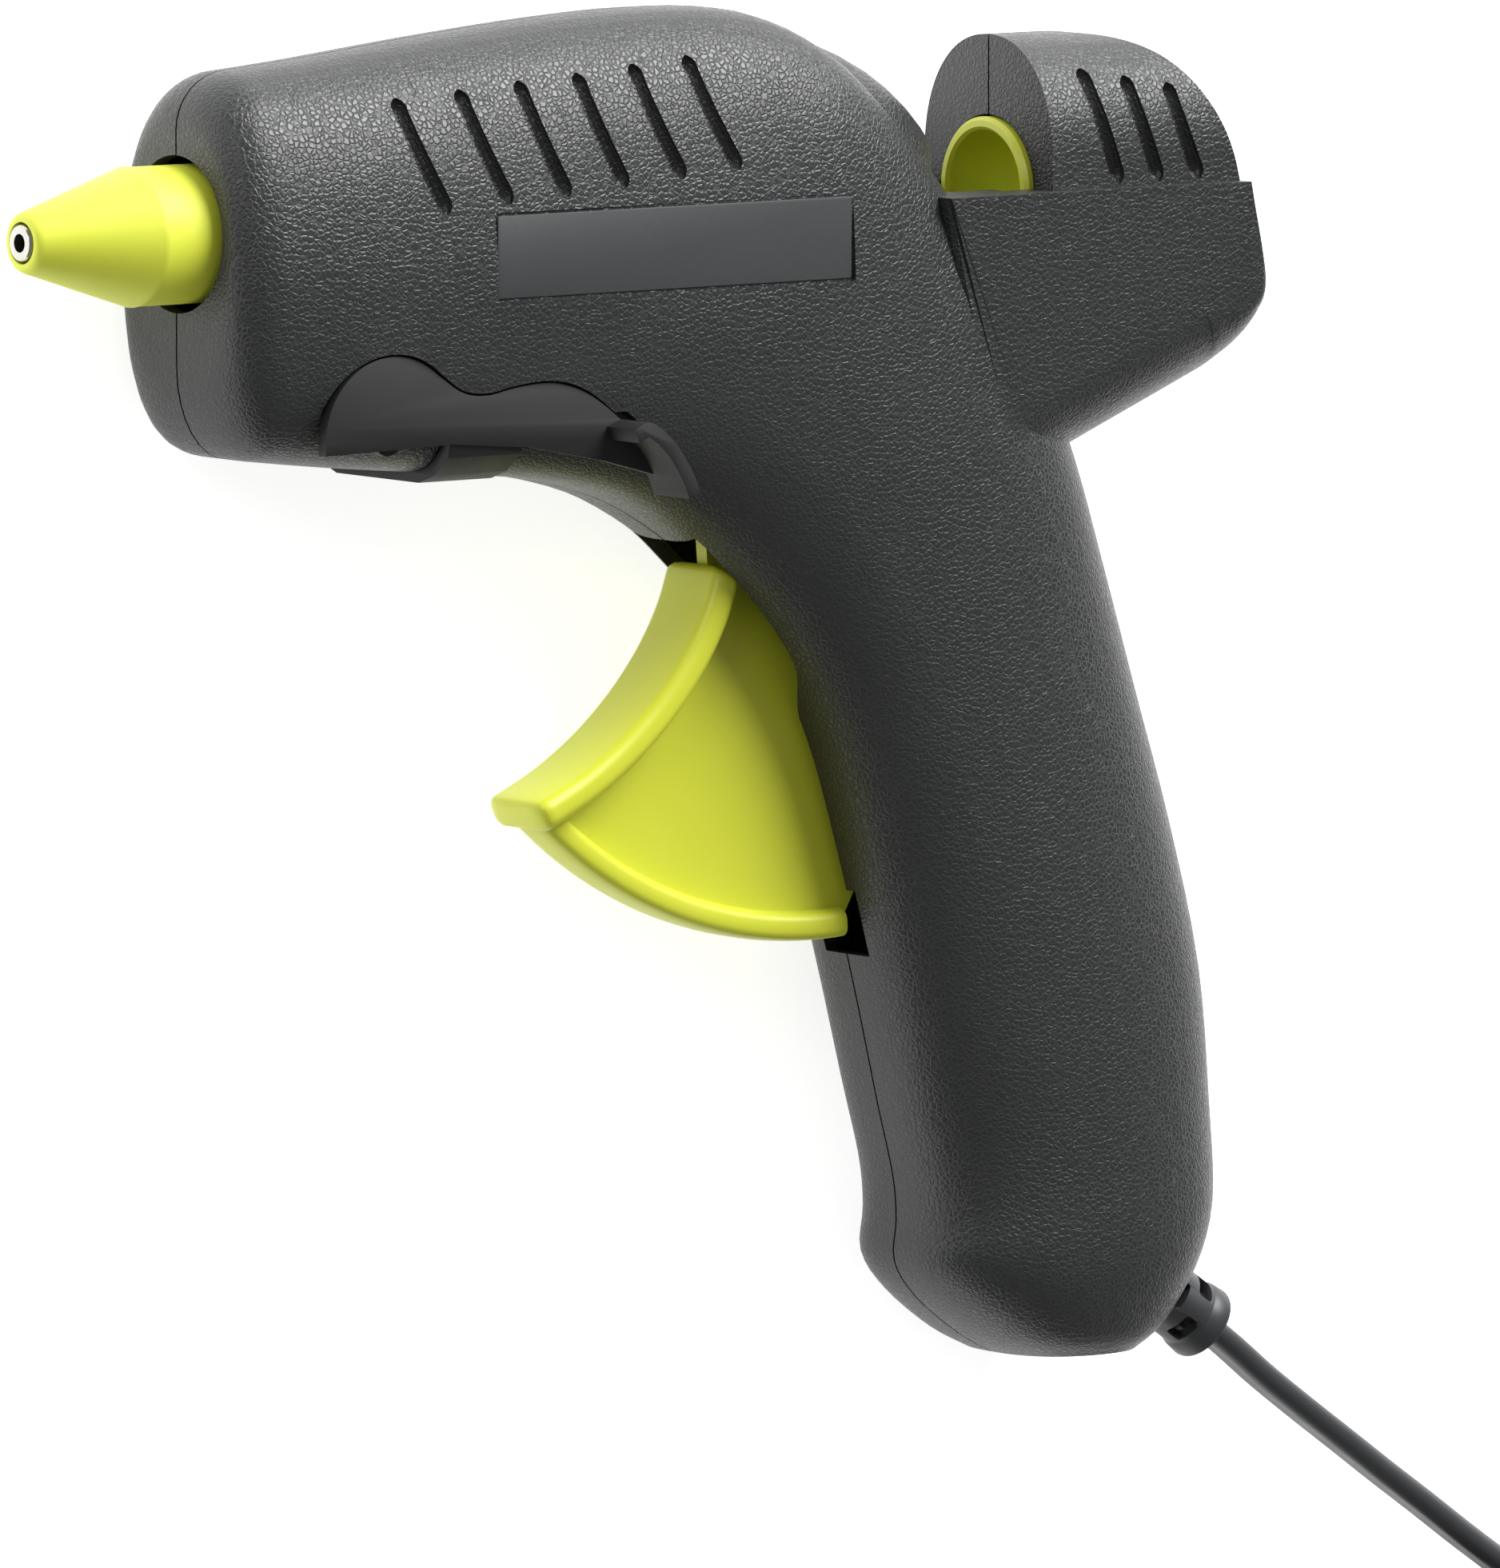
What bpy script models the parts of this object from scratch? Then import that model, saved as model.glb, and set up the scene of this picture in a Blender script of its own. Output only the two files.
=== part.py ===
"""Hot glue gun lying on its right side.

Design space, in millimetres: x runs back from the nozzle's end along the glue stick's axis,
y is the gun's own up direction from that axis, z runs out through the left side, and z = 0 is
the plane in which the two casing halves meet. make() turns design space into metres and hangs
each piece on an empty that stands the gun on its right side with the origin under its middle.
"""
import math

import bmesh
import bpy
from mathutils import Matrix, Vector

MM = 0.001
GAP = 0.3                  # between pieces that touch

# casing
WALL = 2.2
HALF_WIDTH = 17.2
REST_LAND = 0.3            # taken off the right side to give it a flat land
NOSE_X = 24.0
NOSE_TOP = 13.3
NOSE_BOTTOM = -17.0
NOSE_HALF_WIDTH = 10.9
NOSE_ROUND = 8.0
BARREL_START_HALF_WIDTH = HALF_WIDTH - 1.4
NOSE_HOLE_R = 10.1
LABEL_BOX = (62.3, 119.8, -9.5, 1.9)
LABEL_DEPTH = 0.7

# rear housing
TRAY_TOP = 0.4
TRAY_HALF_WIDTH = HALF_WIDTH - 1.2
TRAY_ROUND = 11.0
TRAY_EDGES = (0, 1, 1, 0.92, 0.8, 0.66, 0.5, 0.34, 0.2, 0)     # share of that rounding at each corner
ARCH_X = 154.3
ARCH_HALF_WIDTH = 13.8
ARCH_TOP = 20.2
NECK_CENTRE = (108.0, -6.0)
NECK_RADII = (39.5, 29.0, 12.5)
STICK_HOLE_R = 6.8

# glue path
TUBE_BORE_R = 7.7
TUBE_WALL = 1.7
TUBE_START = 153.3
TUBE_END = 187.6
COLLAR_X = 171.0
COLLAR_LENGTH = 2.4
COLLAR_RISE = 1.6
STICK_BORE_R = 5.9
NOZZLE_END_R = 3.9
NOZZLE_R = 8.9
NOZZLE_CONE = 16.7
NOZZLE_LENGTH = 38.0
TIP_BORE_R = 1.2
CHAMBER_START = 38.5
CHAMBER_END = 70.0
CHAMBER_R = STICK_BORE_R + 2.9
SPIGOT_R = STICK_BORE_R + 1.2
SPIGOT_LENGTH = 10.0
SLEEVE_END = 100.0
HEATER_LENGTH = 18.0
HEATER_THICK = 2.4
HEATER_WIDTH = 9.6
HEATER_X = 44.0

# trigger
PIVOT = (124.0, -31.0)
RIM_R = 66.0
RIM_THICK = 4.0
RIM_HALF_WIDTH = 3.6
WEB_THICK = 2.2
FLANGE_HALF_WIDTH = 6.2
FLANGE_THICK = 3.6
HUB_R = 4.4
HUB_HALF_LENGTH = 5.6
PIN_R = 1.5
ARM_REACH = 20.5
ARM_LEAN = 10.0            # degrees behind upright at rest, so that it works evenly to both sides
SLOT_HALF_WIDTH = 3.0
RIM_SLOT_HALF_WIDTH = 4.7
BOSS_R = 5.0

# carriage
CARRIAGE_FRONT = 113.0
CARRIAGE_BACK = 130.6
CARRIAGE_HALF = 8.4
DRIVE_PIN_R = 1.3
EAR_INNER = 2.6
EAR_THICK = 2.0
JAW_PIVOT = (118.2, -8.0)
JAW_PIN_R = 0.8

# stand
STAND_PIVOT = (46.5, -26.3)
STAND_HUMP_R = 10.6
STAND_PLATE = 1.6
STAND_OUTER = HALF_WIDTH - 1.2
STAND_STUB_R = 2.2
STRAP = (55.5, 67.0)
# y and z of the strap's inner face and outer face, round one corner
STRAP_INSIDE = ((-31.3, STAND_OUTER - 7.5), (-30.2, STAND_OUTER - 4.7), (-27.8, STAND_OUTER - 1.9))
STRAP_OUTSIDE = ((-32.8, STAND_OUTER - 7.0), (-31.6, STAND_OUTER - 3.6), (-29.2, STAND_OUTER - 0.6),
                 (-26.0, STAND_OUTER - 0.1))
TAB_RISE = 6.0

# fasteners
SCREW_R = 1.5
SCREW_HEAD_R = 2.9
SCREW_HEAD = 2.2
SCREW_PLACES = ((31.0, -18.5), (101.0, 17.0), (95.0, -28.0), (164.0, -60.0),
                (147.0, -138.5), (178.0, -18.0))

# cord
CORD_D = 5.4
CORD_ANGLE = 35.0
CORD_EXIT = (181.0, -146.4)
RELIEF_R = 5.2
RELIEF_OUT = 11.5
RELIEF_IN = 9.0
CLAMP_AT = -21.0           # along the cord from its exit
CLAMP_SCREW = 7.4
CLAMP_THICK = 3.0
COIL_R = 29.0
COIL_TURNS_WIDE = 14.0
COIL_HEIGHT = 10.8
PLUG_SIZE = (36.0, 35.3, 13.7)
PLUG_PIN_R = 2.0
PLUG_PIN_LENGTH = 19.0
PLUG_PIN_SPACING = 18.6
CORD_THICK = 3.4

# whole gun and the cord's routes
TIP_FRONT = -0.3
TRAY_BACK = 190.8
BODY_TOP = 26.1
GRIP_BOTTOM = -153.8
REST_DEPTH = HALF_WIDTH - REST_LAND
GUN_CENTRE = ((TIP_FRONT + TRAY_BACK) / 2, (BODY_TOP + GRIP_BOTTOM) / 2)
COIL_CENTRE = (245.0, -234.8)
CORD_FLOOR = -REST_DEPTH + CORD_D / 2 + 0.05
CORD_ROUTE = (
    (190.6, -153.15, 0), (195, -156.4, 0), (200.4, -160.6, -0.2), (207.6, -165.6, -0.8),
    (215.5, -170.7, -2.0),
    (223.7, -175.9, -3.6), (232.1, -181.0, -5.5), (240.6, -186.2, -7.6), (247.0, -189.9, -9.4),
    (252.6, -193.2, -10.9), (257.4, -196.0, -12.2), (261.6, -198.6, -13.2), (264.6, -200.5, -13.8),
    (267.3, -202.4, CORD_FLOOR),
)
LEAD_Y = COIL_CENTRE[1] - COIL_R - COIL_TURNS_WIDE / 2 - CORD_D / 2 - GAP - 0.1
LEAD_ROUTE = ((245.3, LEAD_Y, CORD_FLOOR), (239, LEAD_Y, CORD_FLOOR), (233, LEAD_Y, -13.4), (227, LEAD_Y, -12.0),
              (221.5, LEAD_Y, -10.6), (216.3, LEAD_Y, -10.05))


# ---------------------------------------------------------------- scene and materials

def clear_scene():
    for thing in list(bpy.data.objects):
        bpy.data.objects.remove(thing, do_unlink=True)


def material(name, colour, roughness, metallic=0.0):
    mat = bpy.data.materials.new(name)
    mat.use_nodes = True
    shader = mat.node_tree.nodes["Principled BSDF"]
    shader.inputs["Base Color"].default_value = (*colour, 1.0)
    shader.inputs["Roughness"].default_value = roughness
    shader.inputs["Metallic"].default_value = metallic
    return mat


# ---------------------------------------------------------------- solids in design space

def solid(verts, faces):
    mesh = bpy.data.meshes.new("solid")
    mesh.from_pydata([tuple(v) for v in verts], [], faces)
    bm = bmesh.new()
    bm.from_mesh(mesh)
    bmesh.ops.recalc_face_normals(bm, faces=bm.faces)
    bm.to_mesh(mesh)
    bm.free()
    obj = bpy.data.objects.new("solid", mesh)
    bpy.context.scene.collection.objects.link(obj)
    return obj


def combine(target, tools, operation):
    """Boolean of target with each tool in turn; the tools are used up."""
    for tool in tools:
        step = target.modifiers.new("step", 'BOOLEAN')
        step.operation = operation
        step.solver = 'EXACT'
        step.object = tool
        bpy.context.view_layer.update()
        graph = bpy.context.evaluated_depsgraph_get()
        result = bpy.data.meshes.new_from_object(target.evaluated_get(graph))
        target.modifiers.clear()
        target.data = result
        bpy.data.objects.remove(tool, do_unlink=True)
    return target


def join(target, *tools):
    return combine(target, tools, 'UNION')


def cut(target, *tools):
    return combine(target, tools, 'DIFFERENCE')


def keep(target, *tools):
    return combine(target, tools, 'INTERSECT')


def copy_of(obj):
    twin = obj.copy()
    twin.data = obj.data.copy()
    bpy.context.scene.collection.objects.link(twin)
    return twin


def rings_solid(rings):
    """Closed solid through rings of equal length, with flat ends."""
    count = len(rings[0])
    verts = [v for ring in rings for v in ring]
    faces = [tuple(range(count)), tuple(range(len(verts) - 1, len(verts) - count - 1, -1))]
    for i in range(len(rings) - 1):
        for k in range(count):
            a = i * count + k
            b = i * count + (k + 1) % count
            faces.append((b, a, a + count, b + count))
    return solid(verts, faces)


def prism(outline, z0, z1):
    return rings_solid([[(x, y, z) for x, y in outline] for z in (z0, z1)])


def box(x0, x1, y0, y1, z0, z1):
    return prism([(x0, y0), (x1, y0), (x1, y1), (x0, y1)], z0, z1)


def arc(cx, cy, r, start, end, steps):
    turn = [math.radians(start + (end - start) * i / steps) for i in range(steps + 1)]
    return [(cx + r * math.cos(t), cy + r * math.sin(t)) for t in turn]


def disc_z(x, y, r, z0, z1, sides=20):
    return prism(arc(x, y, r, 0, 360, sides)[:-1], z0, z1)


def turned(profile, sides=20, y=0.0, z=0.0):
    """Ring of closed profile (x, r), clear of the axis, turned about the line along x through y, z."""
    rings = []
    for i in range(sides):
        t = 2 * math.pi * i / sides
        rings.append([(x, y + r * math.cos(t), z + r * math.sin(t)) for x, r in profile])
    count = len(profile)
    verts = [v for ring in rings for v in ring]
    faces = []
    for i in range(sides):
        for k in range(count):
            a = i * count + k
            b = i * count + (k + 1) % count
            c = ((i + 1) % sides) * count
            faces.append((a, b, c + (k + 1) % count, c + k))
    return solid(verts, faces)


def rod_x(r, x0, x1, y=0.0, z=0.0, sides=20):
    return stack_x([(x0, r), (x1, r)], sides, y, z)


def stack_x(profile, sides=20, y=0.0, z=0.0):
    """Solid of revolution along x through the discs (x, r), with flat ends."""
    turn = [2 * math.pi * i / sides for i in range(sides)]
    return rings_solid([[(x, y + r * math.cos(t), z + r * math.sin(t)) for t in turn] for x, r in profile])


def sweep(points, r, sides=8):
    """Round wire through points."""
    rings = []
    side = Vector((0, 0, 1))
    for i, p in enumerate(points):
        ahead = Vector(points[min(i + 1, len(points) - 1)]) - Vector(points[max(i - 1, 0)])
        ahead.normalize()
        side = side - ahead * side.dot(ahead)
        if side.length < 0.01:
            side = ahead.orthogonal()
        side.normalize()
        up = ahead.cross(side)
        rings.append([Vector(p) + side * r * math.cos(t) + up * r * math.sin(t)
                      for t in (2 * math.pi * k / sides for k in range(sides))])
    return rings_solid(rings)


def padded_plate(outline, half_width, radius, amounts, steps=3):
    """Outline extruded to both sides, its edges rounded where amounts is not 0."""
    count = len(outline)
    inward = []
    for i in range(count):
        before, here, after = (Vector(outline[(i + k) % count]) for k in (-1, 0, 1))
        n1 = Vector((-(here - before).y, (here - before).x)).normalized()
        n2 = Vector((-(after - here).y, (after - here).x)).normalized()
        inward.append((n1 + n2) / (1 + n1.dot(n2)))
    rings = []
    angles = [math.radians(90 * i / steps) for i in range(steps + 1)]
    levels = [(half_width - radius + radius * math.sin(a), 1 - math.cos(a)) for a in angles]
    for z, share in [(-z, s) for z, s in reversed(levels)] + levels:
        rings.append([(p[0] + n.x * amounts[i] * share, p[1] + n.y * amounts[i] * share, z)
                      for i, (p, n) in enumerate(zip(outline, inward))])
    return rings_solid(rings)


# ---------------------------------------------------------------- finished pieces

FRAME = None


def make(name, obj, mat, pivot=(0, 0, 0), sharp=35):
    """Turn a solid into a named piece in metres, with its origin at pivot."""
    mesh = obj.data
    mesh.transform(Matrix.Translation(-Vector(pivot)))
    mesh.transform(Matrix.Scale(MM, 4))
    bm = bmesh.new()
    bm.from_mesh(mesh)
    bmesh.ops.remove_doubles(bm, verts=bm.verts, dist=0.000002)
    bmesh.ops.dissolve_degenerate(bm, edges=bm.edges, dist=0.000001)
    bmesh.ops.triangulate(bm, faces=bm.faces)
    bm.to_mesh(mesh)
    bm.free()
    mesh.shade_smooth()
    mesh.set_sharp_from_angle(angle=math.radians(sharp))
    mesh.materials.clear()
    mesh.materials.append(mat)
    obj.name = name
    mesh.name = name
    obj.parent = FRAME
    obj.location = Vector(pivot) * MM
    return obj


# ---------------------------------------------------------------- casing shape

# outer rail x, y; inner rail x, y; half width; roundness outside and inside; place of the ridge;
# share of the half width that the inner facet has lost at its rail
BODY_STATIONS = (
    (44, 21.8, 44, -30.6, 16.7, 2.5, 4.5, 0.61, 0.12),
    (62, 23.8, 62, -32.3, 17.2, 2.5, 4.5, 0.63, 0.12),
    (80, 25.4, 77, -33.9, 17.2, 2.5, 4.5, 0.64, 0.12),
    (96, 26.1, 90, -37.2, 17.2, 2.6, 3.8, 0.66, 0.14),
    (111, 25.2, 100, -42.5, 17.2, 3, 3.3, 0.68, 0.16),
    (122, 20.3, 106, -47.6, 17.2, 3.8, 3.2, 0.69, 0.18),
    (131, 12.4, 111, -52.6, 17.2, 4, 3.2, 0.69, 0.18),
    (139.5, 3, 115.6, -58.2, 17.2, 4, 3.2, 0.69, 0.18),
    (147.5, -7.5, 119.6, -64.8, 17.2, 4, 3.2, 0.68, 0.18),
    (156, -20.5, 123.3, -73.2, 17.2, 3.6, 3.2, 0.67, 0.18),
    (162.5, -33, 126.6, -83.5, 17.2, 3.2, 3.2, 0.67, 0.18),
    (168, -47.5, 129.6, -94, 17.2, 2.9, 3.2, 0.66, 0.18),
    (174, -65, 132.8, -106, 17.2, 2.7, 3.2, 0.64, 0.18),
    (180, -83, 136, -119, 17.2, 2.6, 3.2, 0.62, 0.18),
    (184.8, -102, 138.6, -129, 17.2, 2.6, 3.2, 0.6, 0.18),
    (186.4, -121, 139.2, -135, 17.2, 2.7, 3.2, 0.59, 0.18),
    (186.8, -134.5, 138.9, -140.5, 17.2, 2.8, 3.2, 0.58, 0.16),
    (184, -143, 142.5, -145.6, 16.6, 2.8, 2.8, 0.57, 0.12),
    (178.5, -150.4, 149.5, -150.9, 14.6, 2.8, 2.8, 0.56, 0.12),
    (174.5, -153.8, 155, -153.8, 11.4, 2.8, 2.8, 0.55, 0.12),
)
NOSE_STEPS = 4
NOSE_FACET = 0.12
OUTER_FACET = 0.03
TOP_AT_NOSE = 7.4
BOTTOM_AT_NOSE = 12.2


def body_stations():
    stations = []
    for i in range(NOSE_STEPS + 1):
        a = math.radians(90 * i / NOSE_STEPS)
        x = NOSE_X + NOSE_ROUND * (1 - math.cos(a))
        top = NOSE_TOP + TOP_AT_NOSE * math.sin(a)
        bottom = NOSE_BOTTOM - BOTTOM_AT_NOSE * math.sin(a)
        half = NOSE_HALF_WIDTH + (BARREL_START_HALF_WIDTH - NOSE_HALF_WIDTH) * math.sin(a)
        stations.append((x, top, x, bottom, half, 2.5, 2.6 + 1.7 * math.sin(a), 0.60, NOSE_FACET))
    grow = HALF_WIDTH / 17.2
    return stations + [(*s[:4], s[4] * grow, *s[5:]) for s in BODY_STATIONS]


def loft(inset, steps=8):
    """The barrel and grip as one closed solid, inset all round."""
    rings = []
    stations = body_stations()
    last = len(stations) - 1
    for i, (ox, oy, ix, iy, half, n_out, n_in, ridge, facet) in enumerate(stations):
        outer = Vector((ox, oy, 0))
        inner = Vector((ix, iy, 0))
        along = (inner - outer).normalized()
        front = max(0.0, 1 - i / NOSE_STEPS)
        end = max(0.0, 1 - (last - i) / 3)
        push = Vector((inset * front, inset * end, 0))
        outer = outer + along * inset + push
        inner = inner - along * inset + push
        half = half - inset
        middle = outer.lerp(inner, ridge)
        ring = []
        for k in range(2 * steps):
            a = math.pi * k / steps
            c, s = math.cos(a), math.sin(a)
            n = n_out if c > 0 else n_in
            reach = abs(c) ** (2 / n)
            toward = outer if c > 0 else inner
            flank = 1 - reach * (OUTER_FACET if c > 0 else facet)
            z = math.copysign(half * flank * abs(s) ** (2 / n), s) if abs(s) > 1e-9 else 0.0
            ring.append(middle.lerp(toward, reach) + Vector((0, 0, z)))
        rings.append(ring)
    return rings_solid(rings)


def ball(centre, radii, across=20, rings=10):
    verts = [(centre[0] - radii[0], centre[1], 0)]
    for i in range(1, rings):
        a = math.pi * i / rings
        for k in range(across):
            b = 2 * math.pi * k / across
            verts.append((centre[0] - radii[0] * math.cos(a),
                          centre[1] + radii[1] * math.sin(a) * math.cos(b),
                          radii[2] * math.sin(a) * math.sin(b)))
    verts.append((centre[0] + radii[0], centre[1], 0))
    faces = []
    end = len(verts) - 1
    for k in range(across):
        n = (k + 1) % across
        faces.append((0, 1 + k, 1 + n))
        faces.append((end, end - across + n, end - across + k))
        for i in range(rings - 2):
            a = 1 + i * across
            faces.append((a + k, a + across + k, a + across + n, a + n))
    return solid(verts, faces)


def tray_outline(inset):
    return [(136 + inset, TRAY_TOP - inset), (136 + inset, -40 + inset), (153, -37.2 + inset),
            (178.5, -26.8 + inset), (183.8 - 0.6 * inset, -24.3 + 0.8 * inset),
            (187.6 - 0.8 * inset, -21.6 + 0.6 * inset), (189.9 - inset, -18.4 + 0.4 * inset),
            (TRAY_BACK - inset, -14.6), (189.6 - inset, -9.5), (185.6 - inset, TRAY_TOP - inset)]


def tray(inset):
    amounts = [max(0.0, TRAY_ROUND * share - inset) for share in TRAY_EDGES]
    return padded_plate(tray_outline(inset), TRAY_HALF_WIDTH - inset, TRAY_ROUND - inset, amounts)


def arch():
    section = []
    for k in range(21):
        a = math.pi * k / 20
        c, s = math.cos(a), math.sin(a)
        section.append((4 + (ARCH_TOP - 4) * abs(s) ** 0.92, math.copysign(ARCH_HALF_WIDTH * abs(c) ** 0.92, c)))
    section += [(-6, -ARCH_HALF_WIDTH), (-6, ARCH_HALF_WIDTH)]
    tunnel = rings_solid([[(x, y, z) for y, z in section] for x in (ARCH_X, 192)])
    side = [(150, -8), (186.5, -8), (185.5, 0), (184.4, 4), (182.2, 9), (179, 14), (175.2, 17.6),
            (170, 19.6), (162, ARCH_TOP + 0.1), (150, ARCH_TOP + 1)]
    return keep(tunnel, prism(side, -20, 20))


def stand_outline(grow=0.0):
    x, y = STAND_PIVOT
    hump = arc(x, y, STAND_HUMP_R + grow, 180, 42, 9)
    rest = [(57.5, -20.9 + grow), (61.5, -21.4 + grow), (66, -20.6 + grow), (71.5, -20.3 + grow),
            (76.5, -21.6 + grow), (81.5, -24.8 + grow), (86 + grow, -29 + grow), (88 + grow, -33.0 - grow)]
    low = [(80, -30.8 - grow), (68, -28.4 - grow), (56, -27.4 - grow), (x - STAND_HUMP_R - grow, y - 1.6 - grow)]
    return hump + rest + low


def stand_cutter():
    """Room for the stand: both side plates in their recesses, and the strap under the barrel."""
    depth = STAND_OUTER - STAND_PLATE - GAP
    swing = arc(*STAND_PIVOT, STAND_HUMP_R + GAP, 180, 42, 9)
    outline = swing + stand_outline(GAP)[10:18]
    outline += [(88 + GAP, -42), (STAND_PIVOT[0] - STAND_HUMP_R - GAP, -42)]
    tab_room = [(80, -24.6), (83.6, -24.6), (87.8, -27.6), (91, -32), (92.6, -36), (92, -42), (80, -43)]
    left = join(prism(outline, depth, 30), prism(tab_room, depth, 31))
    right = prism(outline, -30, -depth)
    half_room = [(y + GAP, z - 0.1) for y, z in STRAP_INSIDE] + [(STRAP_INSIDE[-1][0] + GAP, 30), (-45, 30)]
    room = half_room + [(y, -z) for y, z in half_room[::-1]]
    strap = rings_solid([[(x, y, z) for y, z in room] for x in (STRAP[0] - GAP, STRAP[1] + GAP)])
    return left, right, strap


def stand_backing(grow, depth):
    """Pads behind the stand's side plates, which keep the wall whole under the recesses."""
    outline = stand_outline(grow)
    skin = STAND_OUTER - 0.4
    return prism(outline, depth, skin), prism(outline, -skin, -depth)


def inner_bosses():
    """Screw bosses, trigger pivot bosses and carriage rails, ending inside the wall."""
    reach = HALF_WIDTH - WALL / 2
    parts = [disc_z(x, y, SCREW_HEAD_R + 1.4, -reach, reach, 12) for x, y in SCREW_PLACES]
    for side in (-1, 1):
        z0, z1 = sorted((side * (HUB_HALF_LENGTH + GAP + 0.1), side * reach))
        parts.append(disc_z(*PIVOT, BOSS_R, z0, z1))
        z0, z1 = sorted((side * (CARRIAGE_HALF + GAP + 0.2), side * reach))
        parts += [box(104, 133, y - 1, y + 1, z0, z1) for y in (-5.5, 5.5)]
    parts += stand_backing(1.5, STAND_OUTER - 4.0)
    parts.append(box(STRAP[0] - 2, STRAP[1] + 2, -32, -28.2, -11, 11))
    bosses = join(parts[0], *parts[1:])
    return keep(bosses, join(loft(WALL / 2), tray(WALL / 2)))


def casing():
    shape = join(loft(0.0), ball(NECK_CENTRE, NECK_RADII), tray(0.0), arch())
    hollow = join(loft(WALL), ball(NECK_CENTRE, [r - WALL for r in NECK_RADII], 14, 8))
    shape = cut(shape, hollow)
    tray_hollow = tray(WALL)
    keep(tray_hollow, box(150, 186, -45, -(TUBE_BORE_R + TUBE_WALL + WALL + 1.6), -30, 30))
    cut(shape, tray_hollow)
    groove_r = TUBE_BORE_R + TUBE_WALL + COLLAR_RISE + GAP
    cut(shape,
        rod_x(NOSE_HOLE_R, 10, 40),
        rod_x(STICK_HOLE_R, 130, 156),
        rod_x(TUBE_BORE_R + TUBE_WALL + GAP, 149.4, 200),
        rod_x(groove_r, COLLAR_X - GAP, COLLAR_X + COLLAR_LENGTH + GAP))
    flange_slot = [(101.2, -34), (101.2, -59.5), (122, -59.5), (122, -44), (112, -34)]
    web_slot = [(110, -52), (110, -72), (126, -95.8), (140, -95.8), (140, -60), (121, -48)]
    flange_room = FLANGE_HALF_WIDTH + 2 * GAP
    narrowing = [(-59.3, flange_room - 0.03), (-62.5, 0.8 * flange_room), (-65.5, 0.6 * flange_room),
                 (-68.5, SLOT_HALF_WIDTH - 0.1)]
    cut(shape, prism(flange_slot, -flange_room, flange_room),
        rings_solid([[(101.7, y, -w), (121.7, y, -w), (121.7, y, w), (101.7, y, w)] for y, w in narrowing]),
        prism(web_slot, -SLOT_HALF_WIDTH, SLOT_HALF_WIDTH),
        box(118, 141, -99.4, -90.6, -RIM_SLOT_HALF_WIDTH, RIM_SLOT_HALF_WIDTH))
    x0, x1, y0, y1 = LABEL_BOX
    floor = HALF_WIDTH - 0.35 - LABEL_DEPTH
    cut(shape, box(x0, x1, y0, y1, floor, 30), box(x0, x1, y0, y1, -30, -floor))
    join(shape, inner_bosses(), *stand_backing(-1.2, STAND_OUTER - 3.6))
    cut(shape, *stand_cutter())
    cut(shape, disc_z(*PIVOT, PIN_R + GAP, -12.3, 12.3))
    for z0, z1 in ((STAND_OUTER - 4.5, STAND_OUTER + 1), (-STAND_OUTER - 1, 4.5 - STAND_OUTER)):
        cut(shape, disc_z(*STAND_PIVOT, STAND_STUB_R + GAP, z0, z1))
    return shape


def relief_frame(obj):
    """Turn a piece made along x at the origin to the cord's exit."""
    obj.data.transform(Matrix.Rotation(math.radians(-CORD_ANGLE), 4, 'Z'))
    obj.data.transform(Matrix.Translation((*CORD_EXIT, 0)))
    return obj


def shells(black):
    shape = casing()
    cut(shape, relief_frame(rod_x(RELIEF_R + GAP, -12, 14)), relief_frame(rod_x(RELIEF_R + 1.6 + GAP, -9.3, -6.4)))
    for x, y in SCREW_PLACES:
        cut(shape, disc_z(x, y, SCREW_R + GAP, -12, 10.0, 10), disc_z(x, y, SCREW_HEAD_R + GAP, -30, -6.3, 12))
    join(shape, clamp_seat())
    right = copy_of(shape)
    keep(shape, box(-10, 220, -200, 60, GAP / 2, 40))
    keep(right, box(-10, 220, -200, 60, -REST_DEPTH, -GAP / 2))
    make("left_shell", shape, black)
    make("right_shell", right, black)


# ---------------------------------------------------------------- glue path

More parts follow.
